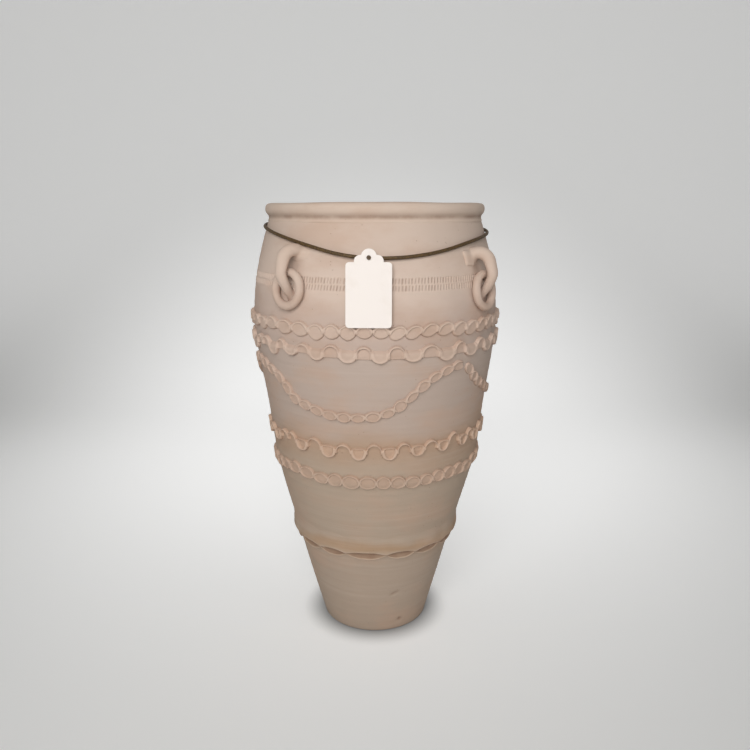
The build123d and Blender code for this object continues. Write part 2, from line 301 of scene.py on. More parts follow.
def skin(counts: Sequence[int], looped: bool, closed: bool = True) -> list[Face]:
    """Faces that join rows of points in order.

    Args:
        counts: How many points each row has, where one may have a whole number of times another's.
        looped: Whether the last row joins the first. If not, both are capped.
        closed: Whether each row runs all round. If not, the rows' ends are capped.

    Returns:
        Faces that look outwards where the rows run to the right and upwards.
    """
    starts = np.cumsum([0, *counts[:-1]]).tolist()
    rows = list(zip(starts, counts))
    above = rows[1:] + rows[:1] if looped else rows[1:]
    faces = []
    for (low, low_count), (high, high_count) in zip(rows, above):
        few = min(low_count, high_count)
        low_step = low_count // few
        high_step = high_count // few
        for index in range(few if closed else few - 1):
            along_low = [low + (index * low_step + k) % low_count for k in range(low_step + 1)]
            along_high = [high + (index * high_step + k) % high_count for k in range(high_step + 1)]
            faces.append(tuple(along_low + along_high[::-1]))
    if not looped:
        faces.append(tuple(reversed(range(counts[0]))))
        faces.append(tuple(range(starts[-1], starts[-1] + counts[-1])))
    if not closed:
        faces.append(tuple(reversed(starts)))
        faces.append(tuple(start + counts[0] - 1 for start in starts))
    return faces


def new_object(name: str, data: bpy.types.ID) -> Piece:
    """Makes an object and links it to the scene.

    Args:
        name: Its name.
        data: Its mesh, curve, camera or lamp.

    Returns:
        The object.
    """
    made = bpy.data.objects.new(name, data)
    bpy.context.scene.collection.objects.link(made)
    return made


def mesh_object(
    name: str, points: Array, faces: Sequence[Face], masks: dict[str, Array] | None = None
) -> Piece:
    """Makes a smooth-shaded mesh object.

    Args:
        name: The piece's name.
        points: Places in metres, in rows of three.
        faces: Point indices of each face.
        masks: Values for each point, by the name that the finishes read.

    Returns:
        The object, linked to the scene.
    """
    mesh = bpy.data.meshes.new(name)
    mesh.from_pydata(points.reshape(-1, 3).tolist(), [], faces)
    mesh.shade_smooth()
    for mask, values in (masks or {}).items():
        layer = mesh.attributes.new(mask, "FLOAT", "POINT")
        layer.data.foreach_set("value", values.reshape(-1).astype(np.float32))
    mesh.update()
    return new_object(name, mesh)


def place(piece: Piece, body: str, finish: Finish, nodes: Sequence[str]) -> Piece:
    """Dresses a piece and hands it to the frame.

    Args:
        piece: The finished object.
        body: The body it rides on.
        finish: Its material.
        nodes: The frame's nodes that it stands for.

    Returns:
        The same object.
    """
    piece.data.materials.clear()
    piece.data.materials.append(finish)
    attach(piece, body)
    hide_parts(*nodes)
    log.info("%s stands for %s on %s", piece.name, ", ".join(nodes), body)
    return piece


class NodeBench:
    """Adds and joins the nodes of one shader tree."""

    def __init__(self, tree: Tree) -> None:
        """Works on a material's tree or a node group."""
        self.tree = tree

    @property
    def shader(self) -> Node:
        """The surface shader that a new material comes with."""
        return self.tree.nodes["Principled BSDF"]

    def add(self, kind: str, sources: dict | None = None, **settings: object) -> Node:
        """Adds a node.

        Args:
            kind: The node's type name.
            sources: A socket or a plain value for each input, by the input's name or number.
            settings: Properties of the node.

        Returns:
            The node.
        """
        node = self.tree.nodes.new(kind)
        for name, value in settings.items():
            setattr(node, name, value)
        self.feed(node, sources or {})
        return node

    def feed(self, node: Node, sources: dict) -> None:
        """Links sockets to a node's inputs, or sets the inputs to plain values.

        Args:
            node: The node.
            sources: A socket or a plain value for each input, by the input's name or number.
        """
        for label, source in sources.items():
            if isinstance(source, Socket):
                self.tree.links.new(source, node.inputs[label])
            else:
                node.inputs[label].default_value = source

    def coordinates(self) -> Socket:
        """The object's own coordinates."""
        return self.add("ShaderNodeTexCoord").outputs["Object"]

    def noise(self, vector: Socket, scale: float, detail: float, roughness: float = 0.55) -> Socket:
        """A cloud of soft values.

        Args:
            vector: The coordinates.
            scale: Clouds per metre.
            detail: How many finer layers.
            roughness: How strong the finer layers are.

        Returns:
            The value socket.
        """
        sources = {"Vector": vector, "Scale": scale, "Detail": detail, "Roughness": roughness}
        return self.add("ShaderNodeTexNoise", sources).outputs["Fac"]

    def spread(self, value: Socket, low: float, high: float, bottom: float = 0.0, top: float = 1.0) -> Socket:
        """Spreads values from low to high smoothly over the range from bottom to top."""
        sources = {"Value": value, "From Min": low, "From Max": high, "To Min": bottom, "To Max": top}
        return self.add("ShaderNodeMapRange", sources, interpolation_type="SMOOTHSTEP").outputs["Result"]

    def sum(self, operation: str, first: object, second: object) -> Socket:
        """Arithmetic on two values, by the name of the operation."""
        return self.add("ShaderNodeMath", {0: first, 1: second}, operation=operation).outputs["Value"]

    def product(self, first: object, second: object) -> Socket:
        """Two values multiplied."""
        return self.sum("MULTIPLY", first, second)

    def mix(self, share: object, first: object, second: object) -> Socket:
        """The first colour with a share of the second."""
        sources = {0: share, 6: first, 7: second}
        return self.add("ShaderNodeMix", sources, data_type="RGBA", blend_type="MIX").outputs[2]

    def stretched(self, vector: Socket, scale: Triple) -> Socket:
        """Coordinates scaled along each axis."""
        return self.add("ShaderNodeVectorMath", {0: vector, 1: scale}, operation="MULTIPLY").outputs["Vector"]

    def dress(self, color: Socket, roughness: Socket, relief: Socket, strength: float, depth: float) -> None:
        """Joins a finish to the material's shader.

        Args:
            color: Its colour.
            roughness: Its roughness.
            relief: The height of its relief, as a share.
            strength: How strongly the relief shows.
            depth: The relief's full height in millimetres.
        """
        sources = {"Strength": strength, "Distance": depth * MM, "Height": relief}
        bump = self.add("ShaderNodeBump", sources)
        normal = bump.outputs["Normal"]
        self.feed(self.shader, {"Base Color": color, "Roughness": roughness, "Normal": normal})


def new_group(name: str, inputs: dict[str, str], outputs: dict[str, str]) -> tuple[NodeBench, Node, Node]:
    """Starts a shader node group.

    Args:
        name: The group's name.
        inputs: Kinds of socket by name.
        outputs: Kinds of socket by name.

    Returns:
        A bench to work on the group, its input node and its output node.
    """
    group = bpy.data.node_groups.new(name, "ShaderNodeTree")
    for direction, sockets in (("INPUT", inputs), ("OUTPUT", outputs)):
        for label, kind in sockets.items():
            group.interface.new_socket(label, in_out=direction, socket_type=f"NodeSocket{kind}")
    bench = NodeBench(group)
    return bench, bench.add("NodeGroupInput"), bench.add("NodeGroupOutput")


def new_material(name: str) -> tuple[Finish, NodeBench]:
    """Starts a material, with a bench to work on it.

    Args:
        name: Its name.

    Returns:
        The material and the bench.
    """
    material = bpy.data.materials.new(name)
    material.use_nodes = True
    return material, NodeBench(material.node_tree)


def clay_grain_group() -> Tree:
    """The relief of fired clay, its pits and its turning marks, with masks of pits and streaks.

    Returns:
        The group's tree.
    """
    bench, given, made = new_group(
        "clay_grain",
        {"Vector": "Vector", "Pits": "Float", "Streaks": "Float"},
        {"Height": "Float", "Pit": "Float", "Streak": "Float"},
    )
    vector = given.outputs["Vector"]
    streak = bench.noise(bench.stretched(vector, (5, 5, 210)), 1.0, 4, 0.6)
    fine = bench.noise(vector, 620, 3, 0.6)
    lumps = bench.noise(vector, 70, 3)
    cells = bench.add("ShaderNodeTexVoronoi", {"Vector": vector, "Scale": 165}, feature="F1")
    round_pit = bench.spread(cells.outputs["Distance"], 0.04, 0.17, 1.0, 0.0)
    sparse = bench.spread(bench.noise(vector, 46, 2), 0.57, 0.62)
    pit = bench.product(bench.product(round_pit, sparse), given.outputs["Pits"])
    ridges = bench.product(streak, given.outputs["Streaks"])
    relief = bench.sum("ADD", bench.product(fine, 0.16), bench.product(lumps, 0.5))
    relief = bench.sum("ADD", relief, ridges)
    height = bench.sum("SUBTRACT", relief, pit)
    bench.feed(made, {"Height": height, "Pit": pit, "Streak": bench.spread(streak, 0.36, 0.66)})
    return bench.tree


def dust_and_painted_shade_group() -> Tree:
    """Pale dust on what stands proud and painted shade in what lies deep, with the clay's roughness.

    Returns:
        The group's tree.
    """
    inputs = {"Color": "Color", "Dust": "Color", "Shade": "Color", "Vector": "Vector", "Amount": "Float"}
    bench, given, made = new_group("dust_and_painted_shade", inputs, {"Color": "Color", "Roughness": "Float"})
    rim = bench.add("ShaderNodeAttribute", attribute_name="rim").outputs["Fac"]
    # the mask of painted shade that the meshes carry: darker in slits, pits, the lip's groove, dishes, under
    # rope edges and in the joint's gape
    painted_shade = bench.add("ShaderNodeAttribute", attribute_name="painted_shade").outputs["Fac"]
    rub = bench.noise(given.outputs["Vector"], 38, 4)
    worn = bench.product(rim, bench.spread(rub, 0.3, 0.6, 0.35, 1.0))
    worn = bench.product(worn, given.outputs["Amount"])
    deep = bench.product(painted_shade, bench.spread(rub, 0.35, 0.7, 1.0, 0.5))
    deep = bench.product(deep, given.outputs["Amount"])
    dusted = bench.mix(worn, given.outputs["Color"], given.outputs["Dust"])
    shaded = bench.mix(deep, dusted, given.outputs["Shade"])
    bench.feed(made, {"Color": shaded, "Roughness": bench.spread(rub, 0.3, 0.7, 0.86, 0.97)})
    return bench.tree


@dataclass(frozen=True)
class FiredClay:
    """Dusty fired clay that browns where the flame reached it."""

    name: str
    # height and the clay's colour there
    bands: tuple[tuple[float, Color], ...]
    blush: Color = (190, 158, 136)
    bloom: Color = (206, 190, 176)
    dust: Color = (218, 196, 178)
    # the colour of painted shade, in hollows and in pits
    shade: Color = (120, 88, 68)
    blush_amount: float = 0.45
    bloom_amount: float = 0.12
    # how strong the dust on proud clay and the painted shade in hollows are
    wear: float = 0.7
    pits: float = 0.8
    pit_shade: float = 0.6
    streaks: float = 0.06
    relief: float = 0.9
    relief_strength: float = 0.6
    gloss: float = 0.25
    jar_height: float = 0.7

    def banded(self, bench: NodeBench, vector: Socket) -> Socket:
        """The clay's colour up the jar, in bands whose edges drift a little.

        Args:
            bench: The material's bench.
            vector: The coordinates.

        Returns:
            The colour socket.
        """
        split = bench.add("ShaderNodeSeparateXYZ", {"Vector": vector})
        drift = bench.noise(bench.stretched(vector, (4, 4, 9)), 1.0, 4)
        lowered = bench.sum("ADD", split.outputs["Z"], bench.spread(drift, 0.3, 0.7, -0.02, 0.02))
        ramp = bench.add("ShaderNodeValToRGB", {"Fac": bench.sum("DIVIDE", lowered, self.jar_height)})
        ramp.color_ramp.interpolation = "EASE"
        stops = ramp.color_ramp.elements
        while len(stops) < len(self.bands):
            stops.new(0.5)
        for stop, (height, color) in zip(stops, self.bands):
            stop.position = height / (self.jar_height / MM)
            stop.color = from_screen(color)
        return ramp.outputs["Color"]

    def build(self, grain: Tree, worn: Tree) -> Finish:
        """Makes the material from the clay grain group and the group of dust and painted shade.

        Args:
            grain: The clay grain group.
            worn: The group of dust and painted shade.

        Returns:
            The material.
        """
        material, bench = new_material(self.name)
        vector = bench.coordinates()
        sources = {"Vector": vector, "Pits": self.pits, "Streaks": self.streaks}
        marks = bench.add("ShaderNodeGroup", sources, node_tree=grain).outputs
        cloud = bench.noise(bench.stretched(vector, (1, 1, 1.9)), 7.5, 5, 0.6)
        blushed = bench.product(bench.spread(cloud, 0.45, 0.68), self.blush_amount)
        color = bench.mix(blushed, self.banded(bench, vector), from_screen(self.blush))
        bloomed = bench.product(marks["Streak"], self.bloom_amount)
        patchy = bench.spread(bench.noise(bench.stretched(vector, (3, 3, 26)), 1.0, 4), 0.35, 0.65)
        color = bench.mix(bench.product(bloomed, patchy), color, from_screen(self.bloom))
        color = bench.mix(bench.product(marks["Pit"], self.pit_shade), color, from_screen(self.shade))
        sources = {
            "Color": color, "Dust": from_screen(self.dust), "Shade": from_screen(self.shade),
            "Vector": vector, "Amount": self.wear,
        }
        wear = bench.add("ShaderNodeGroup", sources, node_tree=worn).outputs
        bench.feed(bench.shader, {"Specular IOR Level": self.gloss})
        bench.dress(wear["Color"], wear["Roughness"], marks["Height"], self.relief_strength, self.relief)
        return material


@dataclass(frozen=True)
class WaxedCord:
    """Dull brown waxed cord, paler in random patches."""

    name: str = "waxed_cord"
    deep: Color = (66, 47, 21)
    pale_patches: Color = (98, 74, 38)
    fibres: float = 0.5
    fibre_strength: float = 0.5

    def build(self) -> Finish:
        """Makes the material.

        Returns:
            The material.
        """
        material, bench = new_material(self.name)
        vector = bench.coordinates()
        # where the paler tone lies, in random patches
        wear = bench.spread(bench.noise(vector, 420, 4), 0.35, 0.68)
        strands = bench.noise(bench.stretched(vector, (260, 260, 900)), 1.0, 3)
        color = bench.mix(wear, from_screen(self.deep), from_screen(self.pale_patches))
        roughness = bench.spread(strands, 0.3, 0.7, 0.5, 0.75)
        bench.dress(color, roughness, strands, self.fibre_strength, self.fibres)
        return material


@dataclass(frozen=True)
class PlainCard:
    """Uncoated card, faintly mottled and a little soiled."""

    name: str = "plain_card"
    face: Color = (241, 232, 225)
    soiled: Color = (231, 220, 209)
    tooth: float = 0.1
    tooth_strength: float = 0.25

    def build(self) -> Finish:
        """Makes the material.

        Returns:
            The material.
        """
        material, bench = new_material(self.name)
        vector = bench.coordinates()
        soil = bench.spread(bench.noise(vector, 34, 5), 0.5, 0.8, 0.0, 0.5)
        pulp = bench.noise(vector, 900, 3)
        color = bench.mix(soil, from_screen(self.face), from_screen(self.soiled))
        roughness = bench.spread(pulp, 0.3, 0.7, 0.72, 0.88)
        bench.dress(color, roughness, pulp, self.tooth_strength, self.tooth)
        return material


@dataclass(frozen=True)
class StitchedBand:
    """Two rows of short slanted slits pressed round the shoulder with a tool's edge."""

    pitch: float = 1.4516
    rows: tuple[Pair, ...] = ((590.6, 599.4), (581.0, 589.6))
    lean: float = 0.32
    depth: float = 1.6
    width_share: float = 0.2
    end_taper: float = 1.4
    # the clay pushed up beside each slit: its height, where it stands and half its width
    burr: Triple = (0.35, 0.46, 0.14)
    seed: int = 23
    margin: float = 1.6
    height_step: float = 0.8
    across: int = 8

    def heights(self) -> Array:
        """The heights of the band's close rows of points."""
        return np.arange(self.rows[1][0] - self.margin, self.rows[0][1] + self.margin, self.height_step)

    def press(self, bearing: Array, height: Array) -> Array:
        """Lifts in millimetres at bearings and heights, below zero in a slit.

        Args:
            bearing: Bearings in degrees.
            height: Heights in millimetres.

        Returns:
            One lift for each place.
        """
        draw = np.random.default_rng(self.seed)
        count = round(360 / self.pitch)
        burr_height, burr_off, burr_width = self.burr
        lift = np.zeros(np.broadcast(bearing, height).shape)
        for low, high in self.rows:
            strength = draw.uniform(0.65, 1.15, count)
            shift = draw.uniform(-0.09, 0.09, count)
            drop = draw.uniform(-0.5, 0.5, count)
            middle = (low + high) / 2
            turn = (bearing - self.lean * (height - middle) / (high - low)) / self.pitch
            which = np.round(turn).astype(int) % count
            off = turn - np.round(turn) - shift[which]
            short = (high - low) / 2 - np.abs(height - middle - drop[which])
            ends = np.clip(short / self.end_taper, 0, 1)
            slit = np.exp(-((off / self.width_share) ** 2)) * ends
            raised = np.exp(-(((off - burr_off) / burr_width) ** 2)) * ends
            lift = lift + strength[which] * (burr_height * raised - self.depth * slit)
        return lift


@dataclass(frozen=True)
class Mark:
    """A small dent in the lower wall: where it is, how deep, its half length and width, and its lean."""

    bearing: float
    height: float
    wall_radius: float
    depth: float
    half_length: float
    half_width: float
    lean: Pair = (1.0, 0.0)

    def lift(self, bearing: Array, height: Array) -> Array:
        """Lifts in millimetres at bearings and heights, below zero in the dent.

        Args:
            bearing: Bearings in degrees.
            height: Heights in millimetres.

        Returns:
            One lift for each place.
        """
        turned = (bearing + 180) % 360 - 180
        side = np.radians(turned - self.bearing) * self.wall_radius
        up = height - self.height
        run, rise = self.lean
        along = (side * run + up * rise) / self.half_length
        across = (up * run - side * rise) / self.half_width
        return -self.depth * np.exp(-(along**2) - across**2)


@dataclass
class TurnedWall:
    """The jar's wall in three stages, as it is built up on the wheel."""

    band: StitchedBand = StitchedBand()
    foot_joint: float = 163.0
    waist_joint: float = 298.5
    columns: int = 248
    row_step: float = 2.6
    inner_row_step: float = 5.0
    inner_ridge: float = 0.4
    inner_pitch: float = 15.0
    scratch: Mark = Mark(16.5, 80.0, 110, 1.7, 8, 2.1, lean=(0.9, 0.43))
    pit: Mark = Mark(25.5, 21.0, 94, 2.2, 3.4, 3.0)
    full_shade_depth: float = 2.2
    foot_round: float = 5.0
    foot_turns: tuple[int, ...] = (0, 18, 36, 54, 72)
    # the painted shade on the wall inside each handle: its strength, reach, share of the handle's height,
    # turn to the front
    painted_handle_shade_strength: float = 0.75
    painted_handle_shade_reach: float = 9.0
    painted_handle_shade_share: float = 0.72
    painted_handle_shade_turn: float = 2.0

    def painted_handle_shade(self, bearing: Array, height: float) -> Array:
        """Painted shade on the wall inside each handle's loop, where the handle shades it, from 0 to 1.

        Args:
            bearing: Bearings in degrees.
            height: The height that they share.

        Returns:
            One share for each bearing.
        """
        dark = np.zeros(bearing.shape)
        for corner, middle in CORNERS.items():
            off = (bearing - middle - self.painted_handle_shade_turn * towards_front(middle) + 180) % 360 - 180
            side = np.radians(off) * SURFACE.plain_radius(height)
            up = height - HANDLE_LOW - HANDLE_SHIFTS[corner] - self.painted_handle_shade_share * HANDLE_RISE
            dark = dark + self.painted_handle_shade_strength * np.exp(-((side**2 + up**2 / 2) / self.painted_handle_shade_reach**2))
        return dark

    def outer_rows(self, low: float, high: float) -> list[Array]:
        """Rows of points up the outside between two heights.

        Args:
            low: The lowest height.
            high: The highest height.

        Returns:
            One array for each row: three coordinates and the point's painted shade, which grows with how deep
                the point lies and inside the handles.
        """
        coarse = all_bearings(self.columns)
        fine = all_bearings(self.columns * self.band.across)
        band = self.band.heights()
        heights = np.linspace(low, high, max(2, round((high - low) / self.row_step)))
        slits = [height for height in band if low < height < high]
        if slits:
            outside = heights[(heights < band[0] - 1) | (heights > band[-1] + 1)]
            heights = np.sort(np.concatenate([outside, slits]))
        rows = []
        for height in heights:
            if height in slits:
                bearing = fine
                press = self.band.press(bearing, height)
            else:
                bearing = coarse
                press = self.scratch.lift(bearing, height) + self.pit.lift(bearing, height)
            # painted shade: darker by the depth of slits, the scratch and the pit, and inside each handle's
            # loop
            painted_shade = np.clip(-press / self.full_shade_depth, 0, 1) + self.painted_handle_shade(bearing, height)
            rows.append(np.column_stack([SURFACE.point(bearing, height, press), painted_shade]))
        return rows

    def inner_row(self, height: float) -> Array:
        """One row of points round the inside, ridged by the maker's fingers, with an empty mask.

        Args:
            height: The row's height.

        Returns:
            Three coordinates and the mask of each point.
        """
        bearing = all_bearings(self.columns)
        spiral = self.inner_ridge * np.sin(2 * pi * height / self.inner_pitch + np.radians(bearing))
        return np.column_stack([SURFACE.point(bearing, height, -SURFACE.wall - spiral), 0 * bearing])

    def foot_rows(self, lowest: Array) -> list[Array]:
        """The rounded edge that the jar stands on, from the base up to the row just over it.

        Args:
            lowest: The row just over the edge.

        Returns:
            The rows, from the base up.
        """
        rows = []
        for degrees in self.foot_turns:
            row = lowest.copy()
            row[:, :2] *= 1 - self.foot_round * (1 - sin(radians(degrees))) / SURFACE.foot_radius
            row[:, 2] = self.foot_round * (1 - cos(radians(degrees))) * MM
            rows.append(row)
        return rows

    def build_stage(self, name: str, low: float, high: float, finish: Finish) -> None:
        """Builds one stage of the wall as a closed shell.

        Args:
            name: The frame's node that it stands for.
            low: Where the stage starts.
            high: Where it ends.
            finish: Its material.
        """
        standing = low == 0
        rows = self.outer_rows(self.foot_round if standing else low, high)
        inside_low = SURFACE.floor if standing else low
        steps = max(2, round((high - inside_low) / self.inner_row_step))
        rows += [self.inner_row(height) for height in np.linspace(high, inside_low, steps)]
        if standing:
            rows = self.foot_rows(rows[0]) + rows
        faces = skin([len(row) for row in rows], looped=not standing)
        table = np.concatenate(rows)
        masks = {"painted_shade": table[:, 3], "rim": 0 * table[:, 3]}
        stage = mesh_object(f"clay_{name}", table[:, :3], faces, masks)
        place(stage, Body.JAR.value, finish, [name])

    def build(self, finish: Finish) -> None:
        """Builds all three stages.

        Args:
            finish: Their material.
        """
        self.build_stage("foot_wall", 0, self.foot_joint, finish)
        self.build_stage("waist_wall", self.foot_joint, self.waist_joint, finish)
        self.build_stage("shoulder_wall", self.waist_joint, SURFACE.neck_height, finish)


@dataclass
class RolledLip:
    """The thick rolled lip with its groove and faint ledge below."""

    columns: int = 248
    sway: Ripple = Ripple(seed=31, reach=160, height=0.35)
    inset: float = 0.2
    # how much shorter the sway's waves are up the lip, and the height where it's at its full strength
    sway_squeeze: float = 3.0
    sway_full: float = 8.0
    # the wear of the top: the height where it starts, how slowly it grows, the sway it starts from
    wear: Triple = (20.0, 4.0, 0.35)
    # the shade in the groove: its strength, its height over the neck and how far it reaches
    groove: Triple = (0.95, 3.6, 4.5)
    # distance out from the neck, height over the neck
    outline: tuple[Pair, ...] = (
        (-18.8, 0.0), (-18.8, 12.0), (-18.8, 19.0), (-18.2, 21.6), (-16.2, 23.2), (-13.5, 23.8), (-8.0, 24.0),
        (-3.0, 23.9), (0.6, 23.2), (3.3, 21.4), (4.9, 18.6), (5.3, 15.2), (5.1, 12.2), (4.1, 9.4), (2.5, 7.2),
        (1.1, 5.6), (0.5, 4.0), (0.4, 2.2), (0.6, 0.6), (1.3, -0.8), (1.7, -2.2), (1.6, -3.6), (0.9, -5.0),
        (-4.0, -5.2),
    )

    def build(self, finish: Finish) -> None:
        """Builds the lip.

        Args:
            finish: Its material.
        """
        bearing = all_bearings(self.columns)
        strength, groove_height, groove_reach = self.groove
        wear_from, wear_slowness, wear_sway = self.wear
        rows = []
        shades = []
        for out, up in reversed(self.outline):
            radius = SURFACE.neck_radius + out
            uneven = self.sway.at(around(bearing, radius, up * self.sway_squeeze))
            uneven = uneven * np.clip(up / self.sway_full, 0, 1)
            worn = max(0.0, up - wear_from) / wear_slowness * np.clip(uneven + wear_sway, 0, 1)
            height = SURFACE.neck_height + up - worn
            rows.append(around(bearing, radius + uneven - self.inset, height) * MM)
            shades.append(strength * max(0.0, 1 - abs(up - groove_height) / groove_reach) * (out > 0))
        counts = [self.columns] * len(rows)
        masks = {"rim": np.zeros(sum(counts)), "painted_shade": np.repeat(shades, counts)}
        lip = mesh_object("clay_lip", np.concatenate(rows), skin(counts, looped=True), masks)
        place(lip, Body.JAR.value, finish, ["lip"])


class Opening(Enum):
    """Where the dish in a lobe runs out to the lobe's edge."""

    CLOSED = 0
    BELOW = -1
    ABOVE = 1
    # a half disc under a straight rim
    LEVEL = 2


@dataclass(frozen=True)
class Press:
    """How a fingertip pressed one lobe: the rope's body, and the dish left in it, in millimetres."""

    body: float
    depth_top: float
    depth_bottom: float
    top_rim: float
    bottom_rim: float
    side_rim: float
    opening: Opening = Opening.CLOSED
    flare: float = 0.0
    edge_top: float = 2.0
    edge_bottom: float = 2.2
    fade: float = 0.0


@dataclass(frozen=True)
class Lobe:
    """One pressed lobe: where it lies along its rope and how far it reaches up and down."""

    along: float
    top: float
    bottom: float
    press: Press
    knot: float
    slant: float = 0.0

    def values(self) -> Array:
        """What is blended from lobe to lobe: outline, body, edges, fade and slant.

        Returns:
            The values in that order.
        """
        press = self.press
        edges = (press.edge_top, press.edge_bottom, press.fade)
        return np.array([self.top, self.bottom, press.body, *edges, self.slant])


class RopePath:
    """The line that a rope lies along: here, straight round the jar."""

    rope_radius = 182

    def place(self, along: Array, across: Array) -> tuple[Array, Array]:
        """Turns rope coordinates into bearings and heights, which here they are already."""
        return along, across

    def millimetres(self, along: Array) -> Array:
        """Lengths along the rope, near enough for its shape."""
        return np.radians(along) * self.rope_radius


class HangingPath(RopePath):
    """A swag's line, which hangs in a curve through given points."""

    fine_steps = 600
    smoothing = 41

    def __init__(self, points: Sequence[Pair]) -> None:
        """Draws the curve through points given as bearings and heights.

        Args:
            points: The points, from one end to the other.
        """
        bearing, height = np.array(points, dtype=float).T
        side = np.radians(np.diff(bearing)) * SURFACE.plain_radius(height[:-1])
        knots = np.concatenate([[0], np.cumsum(np.hypot(side, np.diff(height)))])
        self.length = knots[-1]
        self.fine = np.linspace(0, self.length, self.fine_steps)
        self.bearing = self.smooth(knots, bearing)
        self.height = self.smooth(knots, height)
        self.radius = SURFACE.plain_radius(self.height)
        side = np.radians(np.gradient(self.bearing, self.fine)) * self.radius
        up = np.gradient(self.height, self.fine)
        long_side = np.hypot(side, up)
        self.normal_side = -up / long_side
        self.normal_up = side / long_side

    def smooth(self, knots: Array, values: Array) -> Array:
        """A smooth run, at every fine step, through values at knots along the line.

        Args:
            knots: The knots' lengths along the line.
            values: The value at each knot.

        Returns:
            One value for each fine step.
        """
        straight = np.interp(self.fine, knots, values)
        kernel = np.hanning(self.smoothing)
        kernel /= kernel.sum()
        half = self.smoothing // 2
        before = 2 * straight[0] - straight[half:0:-1]
        after = 2 * straight[-1] - straight[-2:-half - 2:-1]
        return np.convolve(np.concatenate([before, straight, after]), kernel, mode="valid")

    def place(self, along: Array, across: Array) -> tuple[Array, Array]:
        """Turns lengths along the swag and distances over its line into bearings and heights.

        Args:
            along: Lengths in millimetres.
            across: Distances in millimetres.

        Returns:
            Bearings in degrees and heights in millimetres.
        """
        tables = (self.bearing, self.height, self.radius, self.normal_side, self.normal_up)
        bearing, height, radius, side, up = (np.interp(along, self.fine, table) for table in tables)
        return bearing + np.degrees(side * across / radius), height + up * across

    def millimetres(self, along: Array) -> Array:
        """Lengths along the rope."""
        return along


